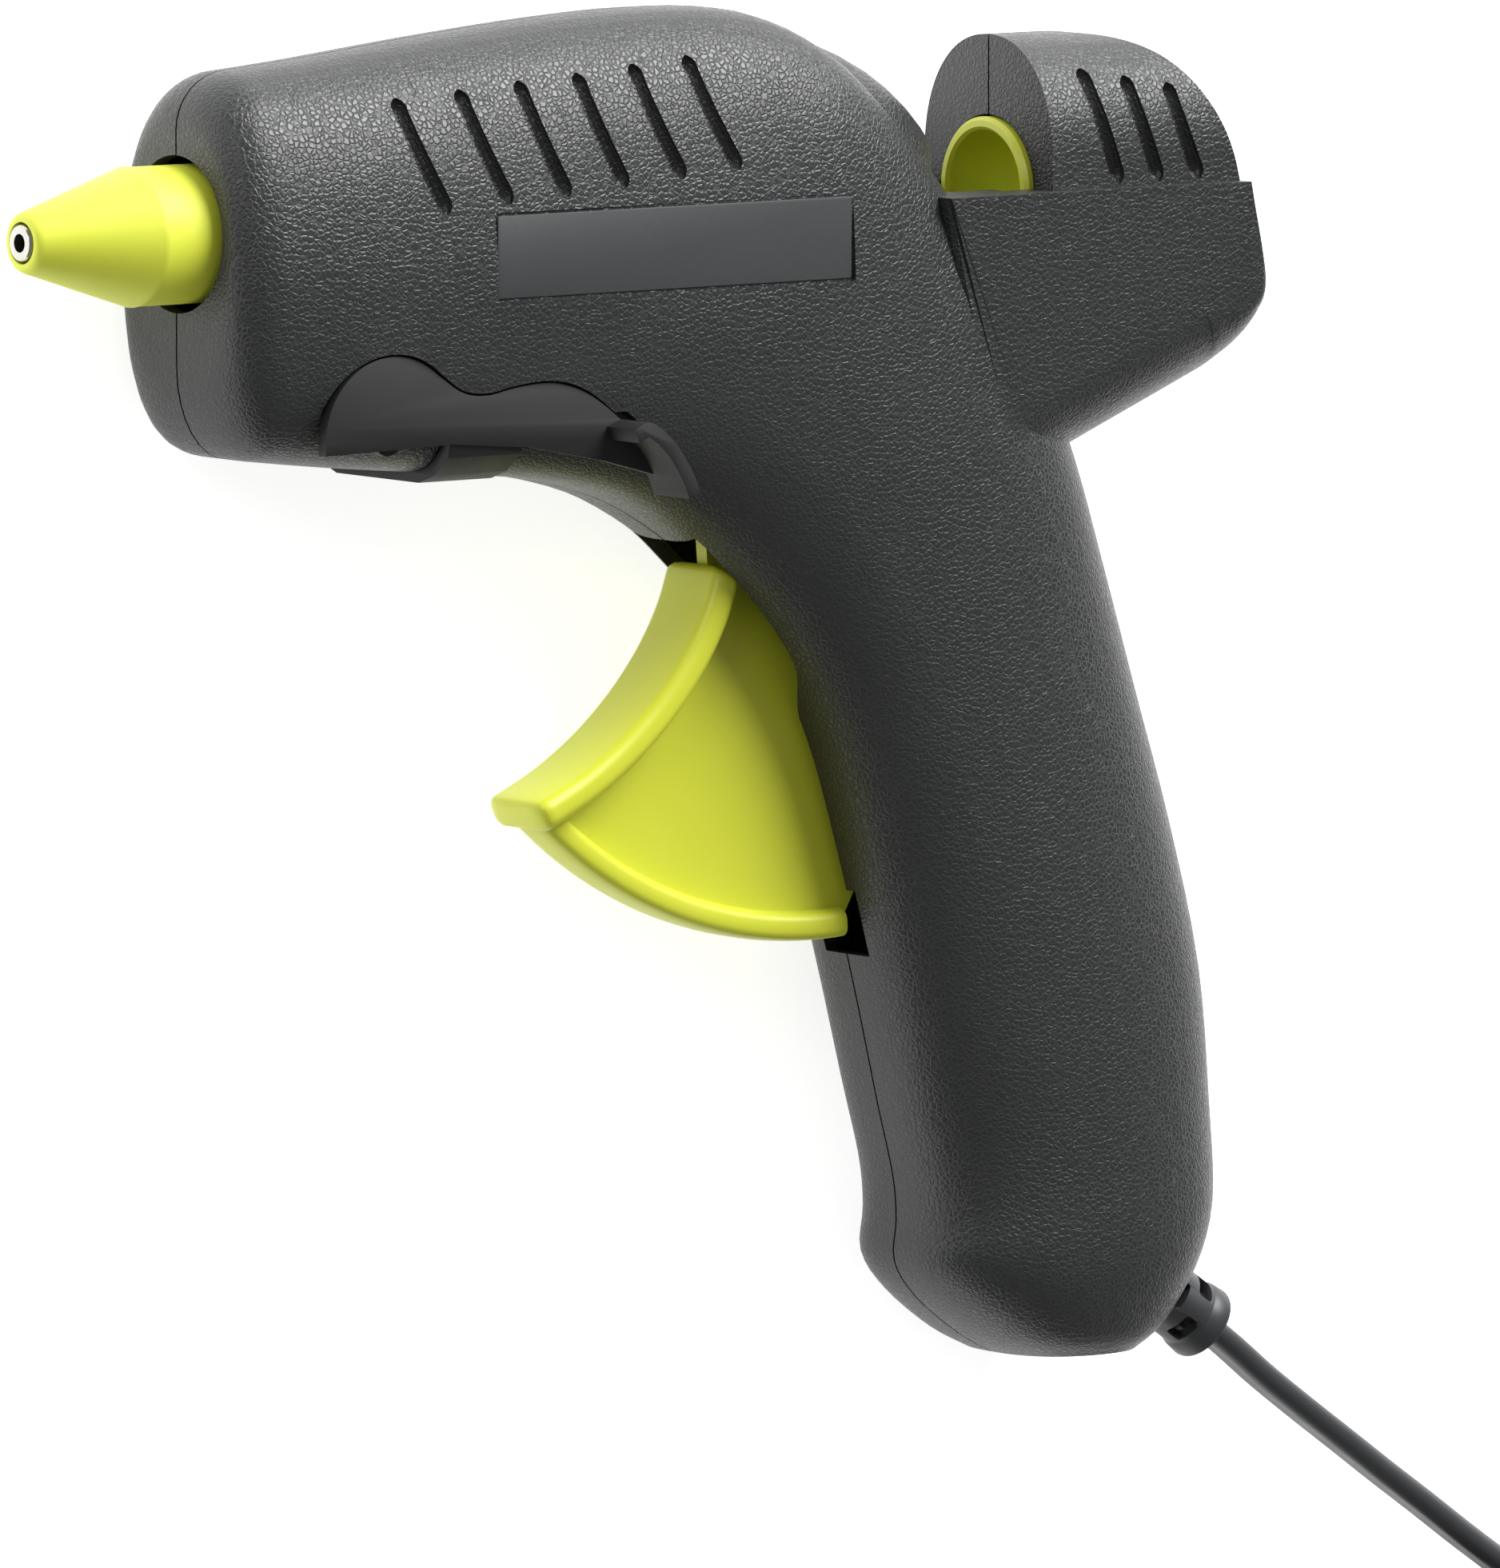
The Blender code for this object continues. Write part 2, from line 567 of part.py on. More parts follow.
def glue_path(lime, silicone, metal, cast, rubber, ceramic, steel, card):
    tip_r = NOZZLE_END_R - 1.5
    nozzle = turned([(0, tip_r + GAP), (0.4, tip_r + GAP), (15.5, 6.6 + GAP), (NOZZLE_LENGTH - 0.8, 6.6 + GAP),
                     (NOZZLE_LENGTH - 0.8, NOZZLE_R - 0.4), (NOZZLE_LENGTH - 1.2, NOZZLE_R), (NOZZLE_CONE, NOZZLE_R),
                     (0.5, NOZZLE_END_R), (0, NOZZLE_END_R - 0.4)])
    make("nozzle_sleeve", nozzle, silicone)
    tip = turned([(-0.3, TIP_BORE_R), (-0.3, tip_r - 0.2), (0.2, tip_r), (15.3, 6.6), (CHAMBER_START - GAP, 6.6),
                  (CHAMBER_START - GAP, 5.3), (24, 5.3), (22, 2.6), (6, TIP_BORE_R)])
    make("nozzle_tip", tip, metal)
    bore_end = CHAMBER_START + 5
    body = turned([(25, 2.2), (25, 5.0), (CHAMBER_START, 5.0), (CHAMBER_START, CHAMBER_R), (CHAMBER_END, CHAMBER_R),
                   (CHAMBER_END, SPIGOT_R), (CHAMBER_END + SPIGOT_LENGTH, SPIGOT_R),
                   (CHAMBER_END + SPIGOT_LENGTH, STICK_BORE_R + 0.3), (CHAMBER_END + SPIGOT_LENGTH - 1, STICK_BORE_R),
                   (bore_end, STICK_BORE_R - 0.4), (CHAMBER_START + 1, 2.2)])
    pocket_half = HEATER_WIDTH / 2 + GAP
    pocket_top = -CHAMBER_R - 2.2
    pocket_low = pocket_top - HEATER_THICK - 2 * GAP
    block = box(HEATER_X - 3, HEATER_X + HEATER_LENGTH + 3, pocket_low - 2.0, -CHAMBER_R + 2.2, -7, 7)
    cut(block, rod_x(STICK_BORE_R + 1.0, HEATER_X - 5, HEATER_X + HEATER_LENGTH + 5))
    join(body, block)
    cut(body, box(HEATER_X - 4, HEATER_X + HEATER_LENGTH + 4, pocket_low, pocket_top, -pocket_half, pocket_half))
    make("melt_chamber", body, cast)
    heater = box(HEATER_X, HEATER_X + HEATER_LENGTH, pocket_low + GAP, pocket_top - GAP,
                 -HEATER_WIDTH / 2, HEATER_WIDTH / 2)
    make("heater_element", heater, ceramic)
    z0 = 7 + GAP
    y0 = pocket_low - 2.0 - GAP
    clip = [(y0 + 7, z0), (y0 + 7, z0 + 0.8), (y0 - 0.8, z0 + 0.8), (y0 - 0.8, -z0 - 0.8), (y0 + 7, -z0 - 0.8),
            (y0 + 7, -z0), (y0, -z0), (y0, z0)]
    make("heater_clip", rings_solid([[(x, y, z) for y, z in clip] for x in (HEATER_X + 4, HEATER_X + 14)]), steel)
    for name, x, out in (("front_support_ring", CHAMBER_START + 0.3, 12.6), ("rear_support_ring", CHAMBER_END - 1.7, 13.4)):
        ring = turned([(x, CHAMBER_R + GAP), (x + 1.6, CHAMBER_R + GAP), (x + 1.6, out), (x, out)])
        make(name, ring, card)
    sleeve = turned([(CHAMBER_END + GAP, SPIGOT_R + GAP), (CHAMBER_END + SPIGOT_LENGTH + GAP, SPIGOT_R + GAP),
                     (CHAMBER_END + SPIGOT_LENGTH + 1.5, STICK_BORE_R + 0.2), (SLEEVE_END, STICK_BORE_R + 0.4),
                     (SLEEVE_END, SPIGOT_R + 1.2), (CHAMBER_END + SPIGOT_LENGTH, SPIGOT_R + 1.6),
                     (CHAMBER_END + GAP, SPIGOT_R + 1.6)])
    make("inlet_sleeve", sleeve, rubber)
    hold = SPIGOT_R + 1.6 + GAP + 0.7
    clamp = turned([(75 + 0.7 * math.cos(t), hold + 0.7 * math.sin(t))
                    for t in (2 * math.pi * k / 8 for k in range(8))], 24)
    make("sleeve_clamp", clamp, steel)
    out = TUBE_BORE_R + TUBE_WALL
    tube = turned([(TUBE_START, TUBE_BORE_R + 0.4), (TUBE_START + 0.4, TUBE_BORE_R), (TUBE_END - 1.6, TUBE_BORE_R),
                   (TUBE_END, TUBE_BORE_R + 1.0), (TUBE_END, out), (COLLAR_X + COLLAR_LENGTH, out),
                   (COLLAR_X + COLLAR_LENGTH, out + COLLAR_RISE), (COLLAR_X, out + COLLAR_RISE), (COLLAR_X, out),
                   (TUBE_START + 0.5, out), (TUBE_START, out - 0.5)])
    make("guide_tube", tube, lime)


def drive_pin_place():
    y = PIVOT[1] + ARM_REACH
    return PIVOT[0] + ARM_REACH * math.tan(math.radians(ARM_LEAN)), y


def feed(steel, black):
    """Carriage that rides between the casing's rails, with the jaw that bites the stick."""
    px, py = drive_pin_place()
    half = CARRIAGE_HALF
    block = box(CARRIAGE_FRONT, CARRIAGE_BACK, -9.6, half - 1, -half, half)
    for side in (-1, 1):
        z0, z1 = sorted((side * (half - 0.5), side * (half + 3)))
        join(block, box(CARRIAGE_FRONT + 0.5, CARRIAGE_BACK - 1, -4.1, 4.1, z0, z1))
    jx, jy = JAW_PIVOT
    cut(block, rod_x(STICK_BORE_R + 0.4, 100, 145),
        box(jx - 3.7, jx + 3.8, -12, 0, -2.4, 2.4),
        box(px - 4.5, px + 10, -12, -5, -EAR_INNER - 0.3, EAR_INNER + 0.3))
    for side in (-1, 1):
        z0, z1 = sorted((side * EAR_INNER, side * (EAR_INNER + EAR_THICK)))
        join(block, prism([(px - 3, -7.4), (px - 3, py), *arc(px, py, 3, 180, 360, 8)[1:-1], (px + 2.5, py),
                           (px + 2.5, -7.4)], z0, z1))
    cut(block, disc_z(px, py, DRIVE_PIN_R + GAP, -6, 6, 16), disc_z(jx, jy, JAW_PIN_R + GAP, -6.2, 6.2, 12))
    make("feed_carriage", block, black)
    teeth = [(2.4, -1.9), (2.9, 0.3), (2.3, 1.8), (1.6, 2.2), (1.0, 1.6), (0.2, 2.2), (-0.4, 1.6), (-1.2, 2.2),
             (-2.0, 1.4), (-2.6, 0.3), (-1.9, -1.9)]
    jaw = prism([(jx + x, jy + y) for x, y in teeth], -2.0, 2.0)
    cut(jaw, disc_z(jx, jy, JAW_PIN_R + GAP, -3, 3, 12))
    make("grip_jaw", jaw, steel, (*JAW_PIVOT, 0))
    make("jaw_pin", disc_z(*JAW_PIVOT, JAW_PIN_R, -5.8, 5.8, 12), steel)
    make("drive_pin", disc_z(px, py, DRIVE_PIN_R, -4.4, 4.4, 16), steel)


# ---------------------------------------------------------------- trigger

def trigger_point(r, angle):
    a = math.radians(angle)
    return PIVOT[0] + r * math.cos(a), PIVOT[1] + r * math.sin(a)


def trigger_piece():
    """Finger flange, web, rim and fork in one, turning about PIVOT."""
    front = [(105.6, -47.6), (104.0, -52.0), (101.5, -56.5), (98.2, -60.9), (94.3, -65.0), (89.6, -68.9), (84.0, -72.5),
             (77.6, -75.6)]
    back = []
    for i, p in enumerate(front):
        ahead = Vector(front[min(i + 1, 7)]) - Vector(front[max(i - 1, 0)])
        normal = Vector((-ahead.y, ahead.x)).normalized()
        back.append((p[0] + normal.x * FLANGE_THICK, p[1] + normal.y * FLANGE_THICK))
    flange = padded_plate(front + back[::-1], FLANGE_HALF_WIDTH, 1.6, [1.4] * 16, 3)
    web = front + arc(*PIVOT, RIM_R - 0.6, 225, 274, 14) + [(133, -88), (132, -70), (129, -50), (129.5, -31),
                                                           (126, -20), (118, -30), (107.2, -43)]
    web_plate = prism(web[::-1], -WEB_THICK / 2, WEB_THICK / 2)
    rim = []
    for a in range(13):
        angle = 226 + a * 4
        x, y = trigger_point(1, angle)
        out = Vector((x - PIVOT[0], y - PIVOT[1], 0))
        ring = []
        for k in range(8):
            t = 2 * math.pi * (k + 0.5) / 8
            c, s = math.cos(t), math.sin(t)
            r = RIM_R - RIM_THICK / 2 + RIM_THICK / 2 * math.copysign(abs(c) ** 0.6, c)
            ring.append(Vector((*PIVOT, 0)) + out * r + Vector((0, 0, RIM_HALF_WIDTH * math.copysign(abs(s) ** 0.6, s))))
        rim.append(ring)
    body = join(flange, web_plate, rings_solid(rim), disc_z(*PIVOT, HUB_R, -HUB_HALF_LENGTH, HUB_HALF_LENGTH))
    px, py = drive_pin_place()
    lean = math.radians(90 - ARM_LEAN)
    out = Vector((math.cos(lean), math.sin(lean)))
    side = Vector((-out.y, out.x))
    half = DRIVE_PIN_R + 0.4
    start, end = Vector(PIVOT) + out * 2, Vector(PIVOT) + out * (ARM_REACH + 3.4)
    arm = [start - side * 3.2, end - side * (half + 1.8), end + side * (half + 1.8), start + side * 3.2]
    fork = prism([tuple(p) for p in arm], -2.0, 2.0)
    low = Vector(PIVOT) + out * (ARM_REACH - 1.7)
    high = Vector(PIVOT) + out * (ARM_REACH + 6)
    cut(fork, prism([tuple(p) for p in (low - side * half, high - side * half, high + side * half, low + side * half)],
                    -5, 5))
    join(body, fork)
    cut(body, disc_z(*PIVOT, PIN_R + GAP, -8, 8))
    return body


def spring_piece():
    """Torsion spring round the hub: one leg on the trigger's web, one against the casing."""
    r = HUB_R + 1.2
    turns = 2
    wire = 0.45
    z0, z1 = 2.8, 5.1
    points = []
    steps = 14 * turns
    for i in range(steps + 1):
        a = math.radians(250) + 2 * math.pi * turns * i / steps
        points.append((PIVOT[0] + r * math.cos(a), PIVOT[1] + r * math.sin(a), z0 + (z1 - z0) * i / steps))
    first = Vector(points[0])
    last = Vector(points[-1])
    lead = first + Vector((-math.sin(math.radians(250)), math.cos(math.radians(250)), 0)) * -9
    tail = last + Vector((-math.sin(math.radians(250)), math.cos(math.radians(250)), 0)) * 9
    return sweep([tuple(lead), *points, tuple(tail)], wire, 6)


# ---------------------------------------------------------------- stand

def stand_piece():
    inner = STAND_OUTER - STAND_PLATE
    outline = stand_outline()
    plate = prism(outline, inner, STAND_OUTER)
    other = prism(outline, -STAND_OUTER, -inner)
    x, y = STAND_PIVOT
    half_strap = list(STRAP_OUTSIDE) + [(-26.0, inner + 0.1), *reversed(STRAP_INSIDE)]
    section = half_strap + [(y, -z) for y, z in reversed(half_strap)]
    strap = rings_solid([[(a, b, c) for b, c in section] for a in STRAP])
    for side in (-1, 1):
        z0, z1 = sorted((side * (inner - 2.2), side * (inner + 0.4)))
        join(strap, disc_z(x, y, STAND_STUB_R, z0, z1, 16))
    tab_outline = [(80.5, -25.6), (83, -25.4), (87, -28.2), (90, -32.2), (91.4, -35.0), (88.8, -35.0), (86.4, -31.0),
                   (83.4, -28.2), (80.5, -27.4)]
    tab = prism(tab_outline, inner, STAND_OUTER + TAB_RISE)
    return join(plate, other, strap, tab)


# ---------------------------------------------------------------- fasteners, cord end and leads

def screws(steel):
    for number, (x, y) in enumerate(SCREW_PLACES, 1):
        head = disc_z(x, y, SCREW_HEAD_R - 0.1, -6.3 - GAP - SCREW_HEAD, -6.3 - GAP, 12)
        join(head, disc_z(x, y, SCREW_R - 0.1, -6.3 - GAP - 0.4, 9.6, 10))
        cut(head, box(x - 2, x + 2, y - 0.4, y + 0.4, -12, -6.3 - GAP - SCREW_HEAD + 0.9))
        make(f"housing_screw_{number}", head, steel)


def relief_piece():
    body = stack_x([(-RELIEF_IN, 4.6), (-RELIEF_IN + 1, RELIEF_R), (RELIEF_OUT - 3, RELIEF_R - 0.5),
                    (RELIEF_OUT - 0.6, RELIEF_R), (RELIEF_OUT, RELIEF_R - 0.5)], 16)
    join(body, stack_x([(-9.0, RELIEF_R + 1.6), (-6.7, RELIEF_R + 1.6)], 16))
    cut(body, rod_x(CORD_D / 2 + GAP, -20, 20, sides=12))
    for x0, x1, turn in ((1.2, 3.7, 0), (5.4, 7.9, 45)):
        for k in range(2):
            window = box(x0, x1, -8, 8, -1.9, 1.9)
            window.data.transform(Matrix.Rotation(math.radians(turn + 90 * k), 4, 'X'))
            cut(body, window)
    return relief_frame(body)


# ---------------------------------------------------------------- cord

def smooth(points, spacing):
    """Points at about the given spacing on a Catmull-Rom curve through points."""
    points = [Vector(p) for p in points]
    ends = [points[0] * 2 - points[1], *points, points[-1] * 2 - points[-2]]
    fine = []
    for i in range(1, len(ends) - 2):
        a, b, c, d = ends[i - 1:i + 3]
        for k in range(8):
            t = k / 8
            fine.append(0.5 * (2 * b + (c - a) * t + (2 * a - 5 * b + 4 * c - d) * t * t
                               + (3 * b - a - 3 * c + d) * t ** 3))
    fine.append(points[-1])
    total = sum((q - p).length for p, q in zip(fine, fine[1:]))
    count = max(2, round(total / spacing))
    out, run, want = [fine[0]], 0.0, 1
    for p, q in zip(fine, fine[1:]):
        step = (q - p).length
        while want < count and run + step >= total * want / count:
            out.append(p.lerp(q, (total * want / count - run) / step))
            want += 1
        run += step
    return out + [fine[-1]]


def tube(name, route, mat):
    data = bpy.data.curves.new(name, 'CURVE')
    data.dimensions = '3D'
    data.bevel_depth = CORD_D / 2 * MM
    data.bevel_resolution = 3
    data.use_fill_caps = True
    points = smooth(route, 2.4 * CORD_D)
    line = data.splines.new('POLY')
    line.points.add(len(points) - 1)
    for point, p in zip(line.points, points):
        point.co = (*(p * MM), 1.0)
    data.materials.append(mat)
    obj = bpy.data.objects.new(name, data)
    bpy.context.scene.collection.objects.link(obj)
    obj.parent = FRAME


def coil_and_tie(mat, tie_mat):
    cx, cy = COIL_CENTRE
    half = COIL_TURNS_WIDE / 2
    base = -REST_DEPTH
    profile = [(base, COIL_R - half + 1.5), (base + 1.5, COIL_R - half), (base + COIL_HEIGHT - 1.5, COIL_R - half),
               (base + COIL_HEIGHT, COIL_R - half + 1.5), (base + COIL_HEIGHT, COIL_R + half - 1.5),
               (base + COIL_HEIGHT - 1.5, COIL_R + half), (base + 1.5, COIL_R + half), (base, COIL_R + half - 1.5)]
    ring = turned(profile, 32)
    ring.data.transform(Matrix(((0, 0, 1, cx), (0, 1, 0, cy), (1, 0, 0, 0), (0, 0, 0, 1))))
    tie_low, tie_high = cx - 4, cx + 4
    band = 1.0
    y0 = cy + COIL_R - half - 3 * GAP
    y1 = cy + COIL_R + half + GAP
    top = base + COIL_HEIGHT + GAP
    cut(ring, box(tie_low - 1, tie_high + 1, y0 - 2, y1 + 2, base - 3, base + band + GAP))
    make("cord_coil", ring, mat)
    tie = box(tie_low, tie_high, y0 - band, y1 + band, base, top + band)
    cut(tie, box(tie_low - 5, tie_high + 5, y0, y1, base + band, top))
    make("cord_tie", tie, tie_mat)


def plug(mat, steel):
    length, width, thick = PLUG_SIZE
    back = LEAD_ROUTE[-1][0] - 2 * GAP
    cy = LEAD_ROUTE[-1][1]
    cz = -REST_DEPTH + thick / 2
    half = width / 2
    outline = [(back, cy + 4.5), (back, cy - 4.5), (back - 13, cy - half + 4), (back - 18, cy - half),
               (back - length, cy - half), (back - length, cy + half), (back - 18, cy + half), (back - 13, cy + half - 4)]
    body = padded_plate(outline[::-1], thick / 2, 3.0, [0, 1.5, 2.5, 2.5, 1.5, 1.5, 2.5, 2.5][::-1], 3)
    body.data.transform(Matrix.Translation((0, 0, cz)))
    face = back - length
    for side, name in ((-1, "plug_pin_lower"), (1, "plug_pin_upper")):
        y = cy + side * PLUG_PIN_SPACING / 2
        cut(body, rod_x(PLUG_PIN_R + GAP, face - 5, face + 6 + GAP, y, cz, 20))
        pin = stack_x([(face - PLUG_PIN_LENGTH, PLUG_PIN_R - 1), (face - PLUG_PIN_LENGTH + 1, PLUG_PIN_R),
                       (face + 6, PLUG_PIN_R)], 16, y, cz)
        make(name, pin, steel)
    make("plug_body", body, mat)


def along_cord(distance, across, z):
    a = math.radians(-CORD_ANGLE)
    return (CORD_EXIT[0] + distance * math.cos(a) - across * math.sin(a),
            CORD_EXIT[1] + distance * math.sin(a) + across * math.cos(a), z)


def cord_end(mat, black, steel, copper, sleeve):
    """The cord's fixed end inside the grip, its clamp, crimps and the leads to the heater."""
    half_w, half_t = CORD_D / 2, CORD_THICK / 2
    oval = [(half_t * math.cos(t), half_w * math.sin(t)) for t in (2 * math.pi * k / 16 for k in range(16))]
    tail = rings_solid([[(x, y, z) for y, z in oval] for x in (CLAMP_AT - 6, RELIEF_OUT - 0.2)])
    make("cord_end", relief_frame(tail), mat)
    bar = box(CLAMP_AT - 3.5, CLAMP_AT + 3.5, -CLAMP_SCREW - 3, CLAMP_SCREW + 3, half_w + GAP, half_w + GAP + CLAMP_THICK)
    top = half_w + GAP + CLAMP_THICK
    for side, name in ((-1, "clamp_screw_lower"), (1, "clamp_screw_upper")):
        y = side * CLAMP_SCREW
        cut(bar, disc_z(CLAMP_AT, y, SCREW_R + GAP, -1, 12, 16))
        head = disc_z(CLAMP_AT, y, SCREW_HEAD_R, top + GAP, top + GAP + 1.8, 16)
        join(head, disc_z(CLAMP_AT, y, SCREW_R, -6, top + GAP + 0.4, 12))
        make(name, relief_frame(head), steel)
    make("cord_clamp", relief_frame(bar), black)
    for side, name in ((1, "live_connector"), (-1, "neutral_connector")):
        make(name, relief_frame(rod_x(1.7, CLAMP_AT - 16, CLAMP_AT - 8, 0, side * 2.6, 12)), copper)
    for side, name in ((1, "live_lead"), (-1, "neutral_lead")):
        start = along_cord(CLAMP_AT - 16.5, 0, side * 2.6)
        after = along_cord(CLAMP_AT - 20, 0, side * 4)
        route = [start, after, (145.5, -112, side * 8.5), (147, -95, side * 10.5), (146, -75, side * 10.8),
                 (141, -55, side * 10.8), (135, -38, side * 10.6), (130, -23, side * 10.4), (118, -17.5, side * 10.2),
                 (102, -16.5, side * 10), (86, -16.5, side * 9.5), (74, -16.6, side * 7.5), (70, -16, side * 5.2),
                 (HEATER_X + HEATER_LENGTH + 4.8, -CHAMBER_R - 5.9, side * 3.6),
                 (HEATER_X + HEATER_LENGTH + 3.6, -CHAMBER_R - 3.8, side * 3.2)]
        make(name, sweep([tuple(p) for p in smooth(route, 6)], 1.1, 6), sleeve)


def clamp_seat():
    """Posts and cradle that the clamp screws the cord down on, part of the right casing half."""
    low = -HALF_WIDTH + 1.6
    posts = []
    for side in (-1, 1):
        posts.append(disc_z(CLAMP_AT, side * CLAMP_SCREW, 3.0, low, -0.8, 16))
    cradle = box(CLAMP_AT - 2, CLAMP_AT + 2, -CLAMP_SCREW, CLAMP_SCREW, low, -CORD_D / 2 - GAP)
    seat = join(cradle, *posts)
    for side in (-1, 1):
        cut(seat, disc_z(CLAMP_AT, side * CLAMP_SCREW, SCREW_R + GAP, -8, 12, 12))
    return relief_frame(seat)


# ---------------------------------------------------------------- whole gun

def main():
    global FRAME
    clear_scene()
    FRAME = bpy.data.objects.new("gun_frame", None)
    bpy.context.scene.collection.objects.link(FRAME)
    FRAME.location = Vector((-GUN_CENTRE[0], -GUN_CENTRE[1], REST_DEPTH)) * MM
    black = material("black_grained_abs", (0.035, 0.036, 0.038), 0.5)
    satin = material("black_satin_plastic", (0.018, 0.018, 0.018), 0.4)
    lime = material("lime_plastic", (0.60, 0.68, 0.05), 0.45)
    silicone = material("lime_silicone", (0.78, 0.85, 0.10), 0.6)
    brass = material("brass", (0.75, 0.58, 0.30), 0.3, 1.0)
    cast = material("cast_aluminium", (0.62, 0.62, 0.63), 0.5, 1.0)
    rubber = material("grey_silicone", (0.35, 0.33, 0.32), 0.6)
    ceramic = material("heater_film", (0.55, 0.36, 0.10), 0.4)
    card = material("support_ring_plastic", (0.45, 0.40, 0.30), 0.7)
    steel = material("steel", (0.60, 0.60, 0.61), 0.3, 1.0)
    pvc = material("cord_pvc", (0.05, 0.05, 0.053), 0.5)
    sleeve = material("glass_sleeving", (0.75, 0.72, 0.65), 0.8)
    shells(black)
    glue_path(lime, silicone, steel, cast, rubber, ceramic, steel, card)
    feed(steel, satin)
    make("trigger", trigger_piece(), lime, (*PIVOT, 0))
    make("trigger_pin", disc_z(*PIVOT, PIN_R, -12.0, 12.0, 16), steel)
    make("return_spring", spring_piece(), steel)
    make("stand", stand_piece(), satin, (*STAND_PIVOT, 0))
    screws(steel)
    make("strain_relief", relief_piece(), pvc)
    cord_end(pvc, satin, steel, brass, sleeve)
    tube("power_cord", CORD_ROUTE, pvc)
    tube("plug_lead", LEAD_ROUTE, pvc)
    coil_and_tie(pvc, satin)
    plug(pvc, steel)


main()
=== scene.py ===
import math
import bpy
import bmesh
from mathutils import Matrix, Vector
from mathutils.bvhtree import BVHTree


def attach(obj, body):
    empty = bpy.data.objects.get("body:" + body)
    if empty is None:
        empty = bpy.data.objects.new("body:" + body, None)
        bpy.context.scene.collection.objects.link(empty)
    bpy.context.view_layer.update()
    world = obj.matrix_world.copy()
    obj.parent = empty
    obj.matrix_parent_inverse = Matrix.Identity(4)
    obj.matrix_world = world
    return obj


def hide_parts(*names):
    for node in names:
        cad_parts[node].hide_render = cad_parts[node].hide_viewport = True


# Hot glue gun lying on its right side. Shapes are worked out in millimetres in the gun's own
# axes: x back from the nozzle's end along the glue stick, y the gun's own up, z out of its left side.
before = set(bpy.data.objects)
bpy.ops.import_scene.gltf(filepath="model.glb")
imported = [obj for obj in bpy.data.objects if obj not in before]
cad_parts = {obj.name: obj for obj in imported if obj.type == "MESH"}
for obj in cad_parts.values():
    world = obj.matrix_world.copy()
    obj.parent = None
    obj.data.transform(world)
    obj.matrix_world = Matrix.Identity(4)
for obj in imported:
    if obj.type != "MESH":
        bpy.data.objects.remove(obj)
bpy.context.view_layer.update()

mm = 0.001
gunCentre = (95.25, -63.85)
restDepth = 16.9
seamGap = 0.3


def toMetres(p):
    return Vector((p[0] - gunCentre[0], p[1] - gunCentre[1], p[2] + restDepth)) * mm


# ---- camera and studio

cameraSet = {"target": (115.24, -76.07, 0), "back": (-0.5968, 0.1049, 0.7954), "right": (0.8, 0.0, 0.6),
             "distance": 2.644, "lens": 466}


def makeCamera():
    data = bpy.data.cameras.new("camera")
    data.lens = cameraSet["lens"]
    data.sensor_width = 36
    camera = bpy.data.objects.new("camera", data)
    bpy.context.scene.collection.objects.link(camera)
    back = Vector(cameraSet["back"]).normalized()
    right = Vector(cameraSet["right"])
    right = (right - back * right.dot(back)).normalized()
    up = back.cross(right)
    turn = Matrix((right, up, back)).transposed().to_4x4()
    place = toMetres(cameraSet["target"]) + back * cameraSet["distance"]
    camera.matrix_world = Matrix.Translation(place) @ turn
    bpy.context.scene.camera = camera


def makeLight(name, place, aim, size, power):
    data = bpy.data.lights.new(name, 'AREA')
    data.shape = 'DISK'
    data.size = size
    data.energy = power
    light = bpy.data.objects.new(name, data)
    bpy.context.scene.collection.objects.link(light)
    light.location = place
    light.rotation_euler = (Vector(aim) - Vector(place)).to_track_quat('-Z', 'Y').to_euler()


# ---- material helpers

def hexColour(text):
    def line(c):
        return c / 12.92 if c <= 0.04045 else ((c + 0.055) / 1.055) ** 2.4
    return [line(int(text[i:i + 2], 16) / 255) for i in (1, 3, 5)] + [1.0]


def addNode(tree, kind, settings=(), **links):
    node = tree.nodes.new(kind)
    for key, value in dict(settings).items():
        if hasattr(node, key):
            setattr(node, key, value)
        else:
            node.inputs[key].default_value = value
    for key, source in links.items():
        tree.links.new(source, node.inputs[key.replace("_", " ")])
    return node


def newMaterial(name):
    material = bpy.data.materials.new(name)
    material.use_nodes = True
    tree = material.node_tree
    return material, tree, tree.nodes["Principled BSDF"]


def setShader(shader, **values):
    for key, value in values.items():
        shader.inputs[key.replace("_", " ")].default_value = value


def objectCoords(tree):
    return addNode(tree, 'ShaderNodeTexCoord').outputs["Object"]


def mixColours(tree, factor, first, second):
    node = addNode(tree, 'ShaderNodeMix', {"data_type": 'RGBA'})
    tree.links.new(factor, node.inputs[0])
    node.inputs[6].default_value = hexColour(first)
    node.inputs[7].default_value = hexColour(second)
    return node.outputs[2]


